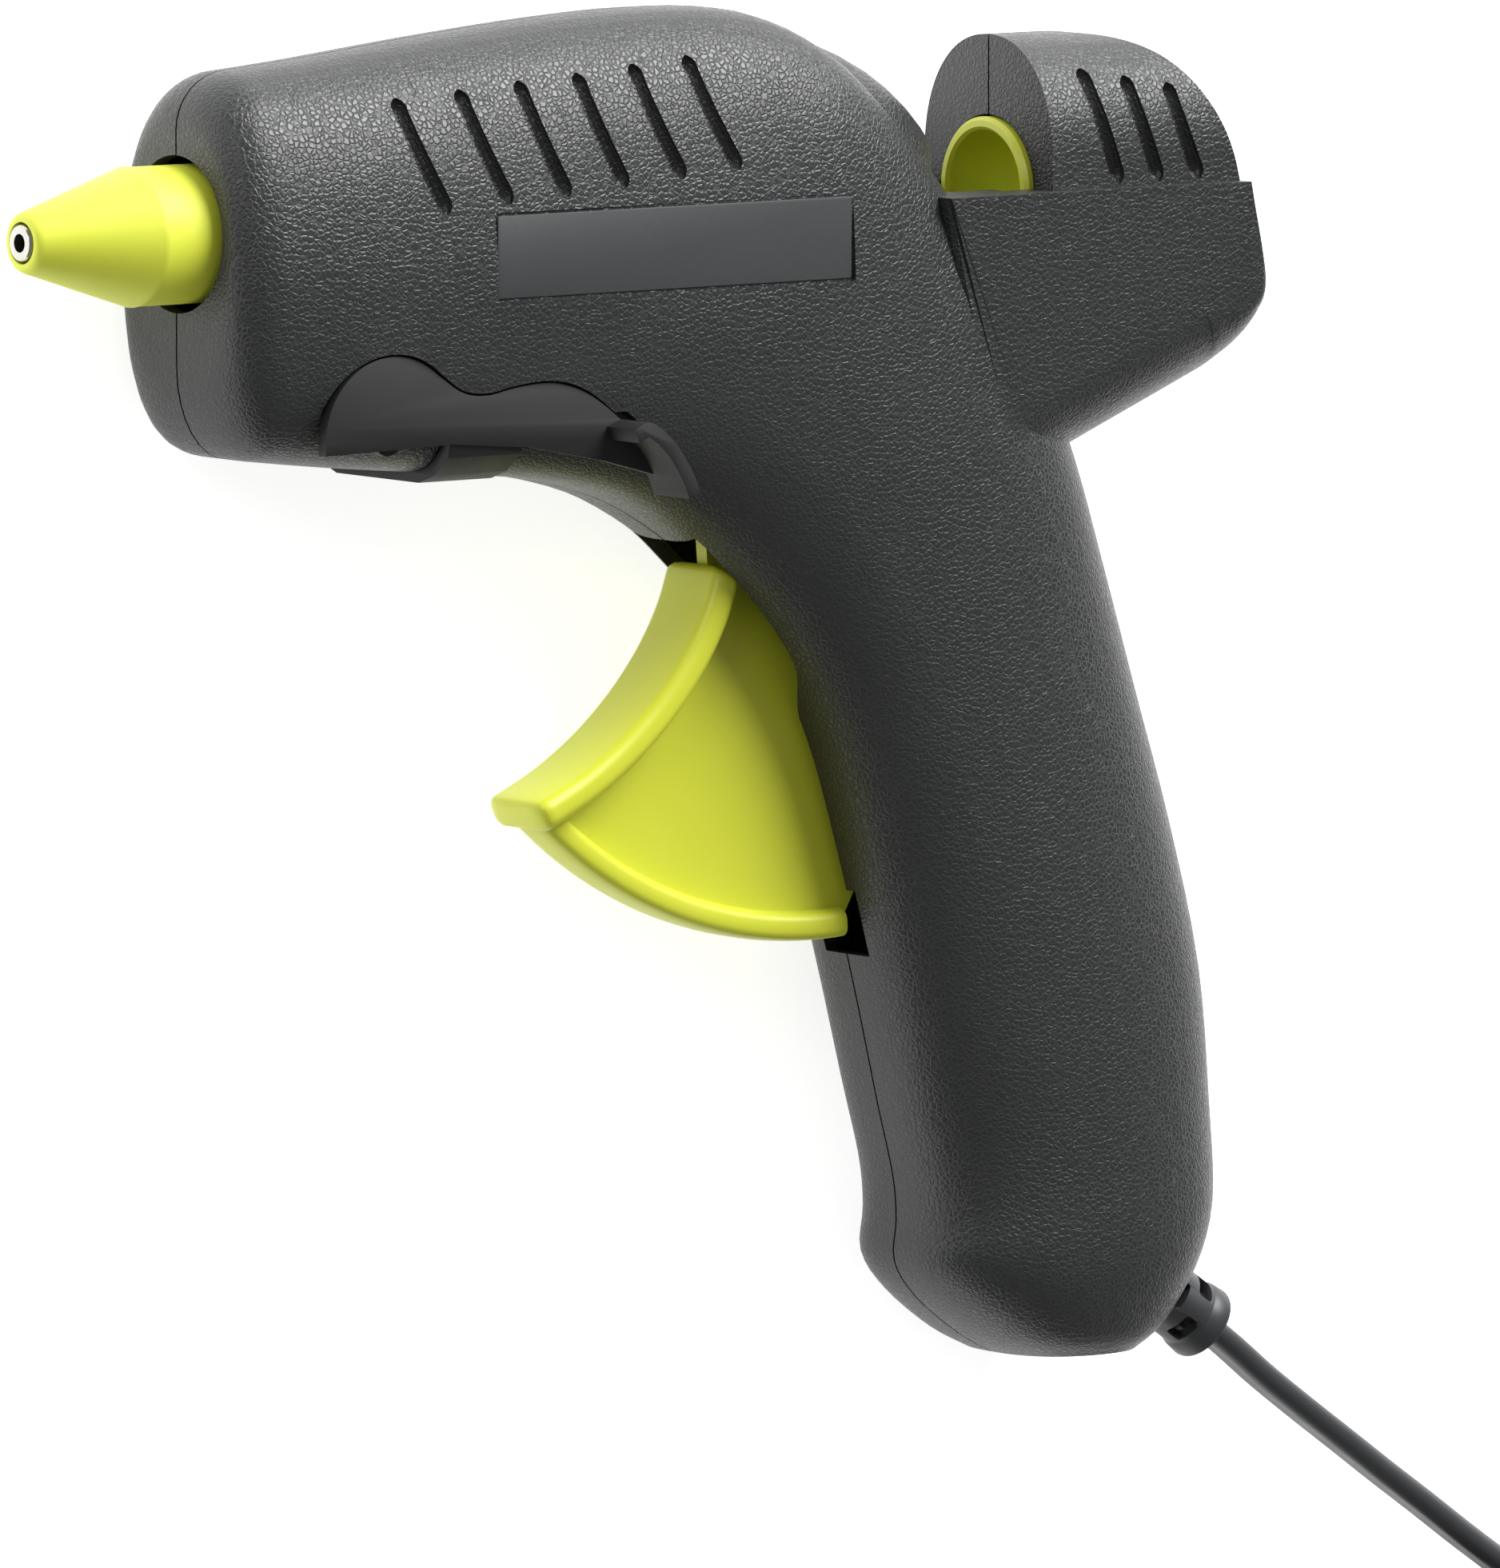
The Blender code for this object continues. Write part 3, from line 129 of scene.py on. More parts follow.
# Moulded ABS with a spark-eroded leather grain: small flat pads with fine valleys, about 0.75 mm apart,
# so the light breaks up into a dull, even grey.
def grainedAbs(name, base, dark, roughness, grain=0.75, depth=0.07):
    material, tree, shader = newMaterial(name)
    setShader(shader, Roughness=roughness, IOR=1.52)
    coords = objectCoords(tree)
    warp = addNode(tree, 'ShaderNodeTexNoise', {"Scale": 900.0, "Detail": 2.0}, Vector=coords)
    bend = addNode(tree, 'ShaderNodeVectorMath', {"operation": 'MULTIPLY_ADD'})
    tree.links.new(warp.outputs["Color"], bend.inputs[0])
    bend.inputs[1].default_value = (0.0005, 0.0005, 0.0005)
    tree.links.new(coords, bend.inputs[2])
    cells = addNode(tree, 'ShaderNodeTexVoronoi', {"feature": 'DISTANCE_TO_EDGE', "Scale": 1000 / grain},
                    Vector=bend.outputs[0])
    pads = addNode(tree, 'ShaderNodeMapRange', {"From Max": 0.22}, Value=cells.outputs["Distance"])
    bump = addNode(tree, 'ShaderNodeBump', {"Strength": 0.8, "Distance": depth * mm},
                   Height=pads.outputs["Result"])
    wide = addNode(tree, 'ShaderNodeTexNoise', {"Scale": 60.0, "Detail": 3.0}, Vector=coords)
    tint = mixColours(tree, wide.outputs["Fac"], dark, base)
    rough = addNode(tree, 'ShaderNodeMapRange', {"To Min": roughness + 0.1, "To Max": roughness - 0.03},
                    Value=pads.outputs["Result"])
    tree.links.new(tint, shader.inputs["Base Color"])
    tree.links.new(rough.outputs["Result"], shader.inputs["Roughness"])
    tree.links.new(bump.outputs["Normal"], shader.inputs["Normal"])
    return material


# Moulded plastic with a faint orange-peel flow, which softens the highlights' edges.
def mouldedPlastic(name, base, shade, roughness, ripple=0.02, scale=300.0, subsurface=0.0):
    material, tree, shader = newMaterial(name)
    setShader(shader, Roughness=roughness, IOR=1.49)
    if subsurface:
        setShader(shader, Subsurface_Weight=subsurface, Subsurface_Radius=(0.002, 0.002, 0.001))
    coords = objectCoords(tree)
    wide = addNode(tree, 'ShaderNodeTexNoise', {"Scale": 45.0, "Detail": 3.0}, Vector=coords)
    fine = addNode(tree, 'ShaderNodeTexNoise', {"Scale": scale, "Detail": 4.0}, Vector=coords)
    tree.links.new(mixColours(tree, wide.outputs["Fac"], shade, base), shader.inputs["Base Color"])
    bump = addNode(tree, 'ShaderNodeBump', {"Strength": 0.6, "Distance": ripple * mm},
                   Height=fine.outputs["Fac"])
    rough = addNode(tree, 'ShaderNodeMapRange', {"To Min": roughness - 0.06, "To Max": roughness + 0.08},
                    Value=fine.outputs["Fac"])
    tree.links.new(rough.outputs["Result"], shader.inputs["Roughness"])
    tree.links.new(bump.outputs["Normal"], shader.inputs["Normal"])
    return material


# Metal with fine machining or casting marks; its roughness wanders a little, as handled metal's does.
def plainMetal(name, base, shade, roughness, scale=1500.0, ripple=0.01):
    material, tree, shader = newMaterial(name)
    setShader(shader, Metallic=1.0, Roughness=roughness)
    coords = objectCoords(tree)
    fine = addNode(tree, 'ShaderNodeTexNoise', {"Scale": scale, "Detail": 3.0}, Vector=coords)
    wide = addNode(tree, 'ShaderNodeTexNoise', {"Scale": 120.0, "Detail": 3.0}, Vector=coords)
    tree.links.new(mixColours(tree, wide.outputs["Fac"], shade, base), shader.inputs["Base Color"])
    rough = addNode(tree, 'ShaderNodeMapRange', {"To Min": roughness - 0.08, "To Max": roughness + 0.12},
                    Value=wide.outputs["Fac"])
    bump = addNode(tree, 'ShaderNodeBump', {"Strength": 0.5, "Distance": ripple * mm},
                   Height=fine.outputs["Fac"])
    tree.links.new(rough.outputs["Result"], shader.inputs["Roughness"])
    tree.links.new(bump.outputs["Normal"], shader.inputs["Normal"])
    return material


# Glass-fibre sleeving: a matte braid at about 0.8 mm.
def braidedSleeve(name, base, shade):
    material, tree, shader = newMaterial(name)
    setShader(shader, Roughness=0.85)
    coords = objectCoords(tree)
    weave = addNode(tree, 'ShaderNodeTexVoronoi', {"Scale": 1250.0}, Vector=coords)
    tree.links.new(mixColours(tree, weave.outputs["Distance"], base, shade), shader.inputs["Base Color"])
    bump = addNode(tree, 'ShaderNodeBump', {"Strength": 0.7, "Distance": 0.1 * mm},
                   Height=weave.outputs["Distance"])
    tree.links.new(bump.outputs["Normal"], shader.inputs["Normal"])
    return material


# ---- solids, in millimetres

def solid(verts, faces):
    mesh = bpy.data.meshes.new("solid")
    mesh.from_pydata([tuple(v) for v in verts], [], faces)
    bm = bmesh.new()
    bm.from_mesh(mesh)
    bmesh.ops.recalc_face_normals(bm, faces=bm.faces)
    bm.to_mesh(mesh)
    bm.free()
    obj = bpy.data.objects.new("solid", mesh)
    bpy.context.scene.collection.objects.link(obj)
    return obj


def combine(target, operation, tools):
    for tool in tools:
        step = target.modifiers.new("step", 'BOOLEAN')
        step.operation = operation
        step.solver = 'EXACT'
        step.object = tool
        bpy.context.view_layer.update()
        graph = bpy.context.evaluated_depsgraph_get()
        result = bpy.data.meshes.new_from_object(target.evaluated_get(graph))
        target.modifiers.clear()
        target.data = result
        bpy.data.objects.remove(tool, do_unlink=True)
    return target


def join(target, *tools):
    return combine(target, 'UNION', tools)


def cut(target, *tools):
    return combine(target, 'DIFFERENCE', tools)


def keep(target, *tools):
    return combine(target, 'INTERSECT', tools)


def copyOf(obj):
    twin = obj.copy()
    twin.data = obj.data.copy()
    bpy.context.scene.collection.objects.link(twin)
    return twin


def ringsSolid(rings):
    count = len(rings[0])
    verts = [v for ring in rings for v in ring]
    faces = [tuple(range(count)), tuple(range(len(verts) - 1, len(verts) - count - 1, -1))]
    for i in range(len(rings) - 1):
        for k in range(count):
            a = i * count + k
            b = i * count + (k + 1) % count
            faces.append((b, a, a + count, b + count))
    return solid(verts, faces)


def prism(outline, z0, z1):
    return ringsSolid([[(x, y, z) for x, y in outline] for z in (z0, z1)])


def box(x0, x1, y0, y1, z0, z1):
    return prism([(x0, y0), (x1, y0), (x1, y1), (x0, y1)], z0, z1)


def arc(cx, cy, r, start, end, steps):
    turn = [math.radians(start + (end - start) * i / steps) for i in range(steps + 1)]
    return [(cx + r * math.cos(t), cy + r * math.sin(t)) for t in turn]


def discZ(x, y, r, z0, z1, sides=48):
    return prism(arc(x, y, r, 0, 360, sides)[:-1], z0, z1)


def stackX(profile, sides=64, y=0.0, z=0.0):
    turn = [2 * math.pi * i / sides for i in range(sides)]
    return ringsSolid([[(x, y + r * math.cos(t), z + r * math.sin(t)) for t in turn] for x, r in profile])


def turned(profile, sides=72):
    rings = []
    for i in range(sides):
        t = 2 * math.pi * i / sides
        rings.append([(x, r * math.cos(t), r * math.sin(t)) for x, r in profile])
    count = len(profile)
    faces = []
    for i in range(sides):
        for k in range(count):
            n = (k + 1) % count
            j = ((i + 1) % sides) * count
            faces.append((i * count + k, i * count + n, j + n, j + k))
    return solid([v for ring in rings for v in ring], faces)


def softCorners(outline, radii, steps=6):
    points = []
    count = len(outline)
    for i in range(count):
        before, here, after = (Vector(outline[(i + k) % count]) for k in (-1, 0, 1))
        r = radii[i] if isinstance(radii, (list, tuple)) else radii
        a, b = before - here, after - here
        reach = min(r, a.length * 0.48, b.length * 0.48)
        if reach < 0.05:
            points.append(tuple(here))
            continue
        p, q = here + a.normalized() * reach, here + b.normalized() * reach
        for k in range(steps + 1):
            t = k / steps
            points.append(tuple(p * (1 - t) ** 2 + here * 2 * t * (1 - t) + q * t * t))
    return points


def smoothPath(points, spacing):
    points = [Vector(p) for p in points]
    ends = [points[0] * 2 - points[1], *points, points[-1] * 2 - points[-2]]
    fine = []
    for i in range(1, len(ends) - 2):
        a, b, c, d = ends[i - 1:i + 3]
        for k in range(16):
            t = k / 16
            fine.append(0.5 * (2 * b + (c - a) * t + (2 * a - 5 * b + 4 * c - d) * t * t
                               + (3 * b - a - 3 * c + d) * t ** 3))
    fine.append(points[-1])
    total = sum((q - p).length for p, q in zip(fine, fine[1:]))
    count = max(2, round(total / spacing))
    out, run, want = [fine[0]], 0.0, 1
    for p, q in zip(fine, fine[1:]):
        step = (q - p).length
        while want < count and run + step >= total * want / count:
            out.append(p.lerp(q, (total * want / count - run) / step))
            want += 1
        run += step
    return out + [fine[-1]]


def sweepSection(points, section, upward=(0, 0, 1)):
    rings = []
    for i, p in enumerate(points):
        ahead = (Vector(points[min(i + 1, len(points) - 1)]) - Vector(points[max(i - 1, 0)])).normalized()
        tall = Vector(upward)
        tall = (tall - ahead * ahead.dot(tall)).normalized()
        wide = tall.cross(ahead)
        rings.append([Vector(p) + wide * a + tall * b for a, b in section])
    return ringsSolid(rings)


def roundWire(points, r, sides=12):
    section = [(r * math.cos(t), r * math.sin(t)) for t in (2 * math.pi * k / sides for k in range(sides))]
    return sweepSection(points, section)


def paddedPlate(outline, halfWidth, radius, amounts, steps=8):
    count = len(outline)
    inward = []
    for i in range(count):
        before, here, after = (Vector(outline[(i + k) % count]) for k in (-1, 0, 1))
        n1 = Vector((-(here - before).y, (here - before).x)).normalized()
        n2 = Vector((-(after - here).y, (after - here).x)).normalized()
        inward.append((n1 + n2) / (1 + n1.dot(n2)))
    levels = [(halfWidth - radius + radius * math.sin(a), 1 - math.cos(a))
              for a in (math.radians(90 * i / steps) for i in range(steps + 1))]
    rings = []
    for z, share in [(-z, s) for z, s in reversed(levels)] + levels:
        rings.append([(p[0] + n.x * amounts[i] * share, p[1] + n.y * amounts[i] * share, z)
                      for i, (p, n) in enumerate(zip(outline, inward))])
    return ringsSolid(rings)


# ---- finished pieces

def finish(obj, name, material, body, replaced=(), sharp=30, bevel=0.0):
    mesh = obj.data
    for v in mesh.vertices:
        v.co = toMetres(v.co)
    bm = bmesh.new()
    bm.from_mesh(mesh)
    bmesh.ops.remove_doubles(bm, verts=bm.verts, dist=0.000002)
    bm.to_mesh(mesh)
    bm.free()
    if bevel:
        step = obj.modifiers.new("edges", 'BEVEL')
        step.width = bevel * mm
        step.segments = 2
        step.limit_method = 'ANGLE'
        step.angle_limit = math.radians(35)
        step.harden_normals = False
        bpy.context.view_layer.update()
        graph = bpy.context.evaluated_depsgraph_get()
        mesh = bpy.data.meshes.new_from_object(obj.evaluated_get(graph))
        obj.modifiers.clear()
        obj.data = mesh
    mesh.shade_smooth()
    mesh.set_sharp_from_angle(angle=math.radians(sharp))
    if not isinstance(material, (list, tuple)):
        mesh.materials.clear()
        mesh.materials.append(material)
    obj.name = name
    mesh.name = name
    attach(obj, body)
    if replaced:
        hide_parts(*replaced)
    return obj


# ---- casing

screwPlaces = [(31.0, -18.5), (101.0, 17.0), (95.0, -28.0), (164.0, -60.0), (147.0, -138.5), (178.0, -18.0)]
# outer rail x, y; inner rail x, y; half width; roundness outside and inside; place of the ridge;
# share of the half width that the inner facet has lost at its rail
bodyStations = [
    (44, 21.8, 44, -30.6, 16.7, 2.5, 4.5, 0.61, 0.12),
    (62, 23.8, 62, -32.3, 17.2, 2.5, 4.5, 0.63, 0.12),
    (80, 25.4, 77, -33.9, 17.2, 2.5, 4.5, 0.64, 0.12),
    (96, 26.1, 90, -37.2, 17.2, 2.6, 3.8, 0.66, 0.14),
    (111, 25.2, 100, -42.5, 17.2, 3, 3.3, 0.68, 0.16),
    (122, 20.3, 106, -47.6, 17.2, 3.8, 3.2, 0.69, 0.18),
    (131, 12.4, 111, -52.6, 17.2, 4, 3.2, 0.69, 0.18),
    (139.5, 3, 115.6, -58.2, 17.2, 4, 3.2, 0.69, 0.18),
    (147.5, -7.5, 119.6, -64.8, 17.2, 4, 3.2, 0.68, 0.18),
    (156, -20.5, 123.3, -73.2, 17.2, 3.6, 3.2, 0.67, 0.18),
    (162.5, -33, 126.6, -83.5, 17.2, 3.2, 3.2, 0.67, 0.18),
    (168, -47.5, 129.6, -94, 17.2, 2.9, 3.2, 0.66, 0.18),
    (174, -65, 132.8, -106, 17.2, 2.7, 3.2, 0.64, 0.18),
    (180, -83, 136, -119, 17.2, 2.6, 3.2, 0.62, 0.18),
    (184.8, -102, 138.6, -129, 17.2, 2.6, 3.2, 0.6, 0.18),
    (186.4, -121, 139.2, -135, 17.2, 2.7, 3.2, 0.59, 0.18),
    (186.8, -134.5, 138.9, -140.5, 17.2, 2.8, 3.2, 0.58, 0.16),
    (184, -143, 142.5, -145.6, 16.6, 2.8, 2.8, 0.57, 0.12),
    (178.5, -150.4, 149.5, -150.9, 14.6, 2.8, 2.8, 0.56, 0.12),
    (174.5, -153.8, 155, -153.8, 11.4, 2.8, 2.8, 0.55, 0.12),
]
casingSet = {
    "wall": 2.2, "half": 17.2, "outerFacet": 0.03,
    "noseX": 24.0, "noseRound": 8.0, "noseTop": 13.3, "noseBottom": -17.0, "noseHalf": 10.9, "noseHole": 10.1,
    "noseFacet": 0.12, "noseRise": 7.4, "noseDrop": 12.2, "noseWiden": 4.9,
    "trayTop": 0.4, "trayHalf": 16.0, "trayRound": 11.0,
    "archX": 154.3, "archHalf": 13.8, "archTop": 20.2,
    "neckCentre": (108.0, -6.0), "neckRadii": (39.5, 29.0, 12.5),
    "grooveR": 1.2, "grooveDepth": 1.5,
    "label": (62.3, 119.8, -9.5, 1.9), "labelRise": 0.35, "labelDepth": 0.7, "labelCorner": 0.5,
    "filmGap": 0.4, "filmCorner": 0.4,
    "flangeSlot": 6.8, "webSlot": 3.0, "rimSlot": 4.7, "stickHole": 6.8,
}
gluePathSet = {"tubeBore": 7.7, "tubeWall": 1.7, "tubeStart": 153.3, "tubeEnd": 187.6, "collarX": 171.0,
               "collarLength": 2.4, "collarRise": 1.6}


def catmull(rows, parts):
    out = []
    ends = [rows[0], *rows, rows[-1]]
    for i in range(1, len(ends) - 2):
        a, b, c, d = ends[i - 1:i + 3]
        for k in range(parts):
            t = k / parts
            out.append(tuple(0.5 * (2 * q + (r - p) * t + (2 * p - 5 * q + 4 * r - s) * t * t
                                    + (3 * q - p - 3 * r + s) * t ** 3) for p, q, r, s in zip(a, b, c, d)))
    return out + [rows[-1]]


def stationRows(noseSteps, parts):
    rows = []
    for i in range(noseSteps):
        a = math.radians(90 * i / noseSteps)
        x = casingSet["noseX"] + casingSet["noseRound"] * (1 - math.cos(a))
        rows.append((x, casingSet["noseTop"] + casingSet["noseRise"] * math.sin(a),
                     x, casingSet["noseBottom"] - casingSet["noseDrop"] * math.sin(a),
                     casingSet["noseHalf"] + casingSet["noseWiden"] * math.sin(a),
                     2.5, 2.6 + 1.7 * math.sin(a), 0.60, casingSet["noseFacet"]))
    corner = (32, 20.7, 32, -29.2, 15.8, 2.5, 4.3, 0.60, casingSet["noseFacet"])
    return rows + catmull([corner, *bodyStations], parts)


def loft(inset, steps=28, noseSteps=8, parts=4):
    rings = []
    rows = stationRows(noseSteps, parts)
    last = len(rows) - 1
    for i, (ox, oy, ix, iy, half, nOut, nIn, ridge, facet) in enumerate(rows):
        outer, inner = Vector((ox, oy, 0)), Vector((ix, iy, 0))
        along = (inner - outer).normalized()
        push = Vector((inset * max(0.0, 1 - i / noseSteps),
                       inset * max(0.0, 1 - (last - i) / (3 * parts)), 0))
        outer, inner = outer + along * inset + push, inner - along * inset + push
        middle = outer.lerp(inner, ridge)
        ring = []
        for k in range(2 * steps):
            a = math.pi * (k + 0.5) / steps
            c, s = math.cos(a), math.sin(a)
            n = nOut if c > 0 else nIn
            toward = outer if c > 0 else inner
            reach = abs(c) ** (2 / n)
            flank = 1 - reach * (casingSet["outerFacet"] if c > 0 else facet)      # a crease at the ridge
            z = math.copysign((half - inset) * flank * abs(s) ** (2 / n), s)
            ring.append(middle.lerp(toward, reach) + Vector((0, 0, z)))
        rings.append(ring)
    return ringsSolid(rings)


def neck(inset):
    centre, radii = casingSet["neckCentre"], [r - inset for r in casingSet["neckRadii"]]
    verts, faces = [(centre[0] - radii[0], centre[1], 0)], []
    across, rings = 48, 28
    for i in range(1, rings):
        a = math.pi * i / rings
        for k in range(across):
            b = 2 * math.pi * (k + 0.5) / across
            verts.append((centre[0] - radii[0] * math.cos(a),
                          centre[1] + radii[1] * math.sin(a) * math.cos(b),
                          radii[2] * math.sin(a) * math.sin(b)))
    verts.append((centre[0] + radii[0], centre[1], 0))
    end = len(verts) - 1
    for k in range(across):
        n = (k + 1) % across
        faces += [(0, 1 + k, 1 + n), (end, end - across + n, end - across + k)]
        for i in range(rings - 2):
            a = 1 + i * across
            faces.append((a + k, a + across + k, a + across + n, a + n))
    return solid(verts, faces)


def tray():
    top = casingSet["trayTop"]
    corner = [(153, -37.2), (178.5, -26.8), (183.8, -24.3), (187.6, -21.6), (189.9, -18.4), (190.8, -14.6),
              (189.6, -9.5), (185.6, top)]
    shares = [1, 0.92, 0.8, 0.66, 0.5, 0.34, 0.2, 0]
    curve = catmull([(*p, q) for p, q in zip(corner, shares)], 6)
    outline = [(136, top), (136, -40)] + [(x, y) for x, y, q in curve]
    rounds = [0, casingSet["trayRound"]] + [casingSet["trayRound"] * max(0.0, q) for x, y, q in curve]
    return paddedPlate(outline, casingSet["trayHalf"], casingSet["trayRound"], rounds, 10)


def arch():
    section = []
    half, top = casingSet["archHalf"], casingSet["archTop"]
    for k in range(49):
        a = math.pi * k / 48
        c, s = math.cos(a), math.sin(a)
        section.append((4 + (top - 4) * abs(s) ** 0.92, math.copysign(half * abs(c) ** 0.92, c)))
    section += [(-6, -half), (-6, half)]
    tunnel = ringsSolid([[(x, y, z) for y, z in section] for x in (casingSet["archX"], 192)])
    back = [(185.5, 0), (184.4, 4), (182.2, 9), (179, 14), (175.2, 17.6), (170, 19.6), (162, top + 0.1),
            (150, top + 1)]
    back = [tuple(p)[:2] for p in smoothPath([(x, y, 0) for x, y in back], 1.2)]
    return keep(tunnel, prism([(150, -8), (186.5, -8)] + back, -20, 20))


def grooveLines():
    lines = []
    tops = [(50.4, 15.9), (60.2, 16.6), (69.6, 17.3), (78.9, 17.9), (88.0, 18.7), (96.8, 19.4)]
    feet = [(54.7, 3.2), (64.4, 4.0), (73.7, 4.6), (83.0, 5.3), (92.3, 6.0), (101.3, 6.7)]
    for (x0, y0), (x1, y1) in zip(tops, feet):
        lines.append([(x0 + (x1 - x0) * t ** 1.5, y0 + (y1 - y0) * t) for t in (k / 12 for k in range(13))])
    for k in range(3):      # the arch's three, which step down with its curve
        lines.append([(161.7 + 6.6 * k + 3.3 * t ** 1.5, 15 - 13 * t - 1.2 * k * (1 - t))
                      for t in (j / 12 for j in range(13))])
    return lines


def cutGrooves(shape):
    bm = bmesh.new()
    bm.from_mesh(shape.data)
    tree = BVHTree.FromBMesh(bm)
    bm.free()
    r = casingSet["grooveR"]
    tools = []
    for line in grooveLines():
        for side in (-1, 1):
            points = []
            for x, y in line:
                hit, normal, _, _ = tree.ray_cast(Vector((x, y, side * 40)), Vector((0, 0, -side)))
                points.append(hit + normal * (r - casingSet["grooveDepth"]))
            points = smoothPath(points, 0.7)
            start, end = points[0] - points[1], points[-1] - points[-2]
            rings = []
            shares = [(0.0, 0.25), (0.45, 0.75), (1.0, 1.0)]
            whole = ([(points[0] + start.normalized() * r * (1 - f), g) for f, g in shares[:2]]
                     + [(p, 1.0) for p in points]
                     + [(points[-1] + end.normalized() * r * (1 - f), g) for f, g in reversed(shares[:2])])
            for i, (p, g) in enumerate(whole):
                ahead = (whole[min(i + 1, len(whole) - 1)][0] - whole[max(i - 1, 0)][0]).normalized()
                tall = Vector((0, 0, 1))
                tall = (tall - ahead * ahead.dot(tall)).normalized()
                wide = tall.cross(ahead)
                rings.append([p + wide * r * g * math.cos(t) + tall * r * g * math.sin(t)
                              for t in (2 * math.pi * (k + 0.5) / 12 for k in range(12))])
            tools.append(ringsSolid(rings))
    return cut(shape, *tools)


def reliefFrame(obj):
    turn = Matrix.Translation((181.0, -146.4, 0)) @ Matrix.Rotation(math.radians(-35), 4, 'Z')
    obj.data.transform(turn)
    return obj


def labelFloor():
    return casingSet["half"] - casingSet["labelRise"] - casingSet["labelDepth"]


def makeCasing(abs_):
    s = casingSet
    wall = s["wall"]
    shape = join(loft(0.0), neck(0.0), tray(), arch())
    print("casing skin joined")
    cutGrooves(shape)
    x0, x1, y0, y1 = s["label"]
    floor = labelFloor()
    outline = softCorners([(x0, y0), (x1, y0), (x1, y1), (x0, y1)], s["labelCorner"])
    cut(shape, prism(outline, floor, 30), prism(outline, -30, -floor))
    hollow = join(loft(wall, 14, 4, 2), neck(wall))
    cut(shape, hollow)
    tubeRoom = gluePathSet["tubeBore"] + gluePathSet["tubeWall"] + seamGap
    cut(shape, stackX([(10, s["noseHole"]), (40, s["noseHole"])]),
        stackX([(130, s["stickHole"]), (156, s["stickHole"])]), stackX([(149.4, tubeRoom), (200, tubeRoom)]))
    narrowing = [(-59.3 - 9.2 * t, 6.77 - 3.87 * t * t * (3 - 2 * t)) for t in (k / 10 for k in range(11))]
    flangeSlot = [(101.2, -34), (101.2, -59.5), (122, -59.5), (122, -44), (112, -34)]
    webSlot = [(110, -52), (110, -72), (126, -95.8), (140, -95.8), (140, -60), (121, -48)]
    cut(shape, prism(flangeSlot, -s["flangeSlot"], s["flangeSlot"]),
        ringsSolid([[(101.7, y, -w), (121.7, y, -w), (121.7, y, w), (101.7, y, w)] for y, w in narrowing]),
        prism(webSlot, -s["webSlot"], s["webSlot"]),
        box(118, 141, -99.4, -90.6, -s["rimSlot"], s["rimSlot"]))
    cut(shape, *standRoom())
    cut(shape, reliefFrame(stackX([(-12, 5.5), (14, 5.5)])))
    for x, y in screwPlaces:
        cut(shape, discZ(x, y, 3.2, -30, -6.3, 32))
    right = copyOf(shape)
    keep(shape, box(-10, 220, -200, 60, seamGap / 2, 40))
    keep(right, box(-10, 220, -200, 60, -restDepth, -seamGap / 2))
    finish(shape, "leftCasing", abs_, "casing", ["left_shell"], 28)
    finish(right, "rightCasing", abs_, "casing", ["right_shell"], 28)


def makeLabels(material):
    x0, x1, y0, y1 = casingSet["label"]
    gap = casingSet["filmGap"]
    x0, x1, y0, y1 = x0 + gap, x1 - gap, y0 + gap, y1 - gap
    outline = softCorners([(x0, y0), (x1, y0), (x1, y1), (x0, y1)], casingSet["filmCorner"])
    floor = labelFloor()
    finish(prism(outline, floor - 0.1, floor + 0.22), "leftLabelPlate", material, "casing", bevel=0.08)
    finish(prism(outline, -floor - 0.22, -floor + 0.1), "rightLabelPlate", material, "casing", bevel=0.08)


# ---- stand

standSet = {"pivot": (46.5, -26.3), "hump": 10.6, "inner": 14.4, "outer": 16.0, "strap": (55.5, 67.0),
            "tabRise": 6.0, "tabThick": 1.9, "stubR": 2.2}
strapInside = [(-31.3, 8.5), (-30.2, 11.3), (-27.8, 14.1)]
strapOutside = [(-32.8, 9.0), (-31.6, 12.4), (-29.2, 15.4), (-26.0, 15.9)]


def standOutline(grow=0.0):
    x, y = standSet["pivot"]
    hump = arc(x, y, standSet["hump"] + grow, 180, 48, 26)
    rest = [(57.5, -20.9), (61.5, -21.4), (66, -20.6), (71.5, -20.3), (76.5, -21.6), (81.5, -24.8), (86, -29)]
    top = [(hump[-1][0], hump[-1][1], 0)] + [(a, b + grow, 0) for a, b in rest] + [(88 + grow, -33 - grow, 0)]
    top = [(p.x, p.y) for p in smoothPath(top, 1.0)][1:]
    low = [(80, -30.8 - grow), (68, -28.4 - grow), (56, -27.4 - grow),
           (x - standSet["hump"] - grow, y - 1.6 - grow)]
    return hump + top + low


def standRoom():
    gap = seamGap
    depth = standSet["inner"] - gap
    outline = standOutline(gap)[:-4] + [(88.3, -42), (standSet["pivot"][0] - standSet["hump"] - gap, -42)]
    tabRoom = [(80, -24.6), (83.6, -24.6), (87.8, -27.6), (91, -32), (92.6, -36), (92, -42), (80, -43)]
    left = join(prism(outline, depth, 30), prism(tabRoom, depth, 31))
    half = [(a + gap, b - 0.1) for a, b in strapInside] + [(strapInside[-1][0] + gap, 30), (-45, 30)]
    section = half + [(a, -b) for a, b in half[::-1]]
    x0, x1 = standSet["strap"]
    strapRoom = ringsSolid([[(a, b, c) for b, c in section] for a in (x0 - gap, x1 + gap)])
    return left, prism(outline, -30, -depth), strapRoom


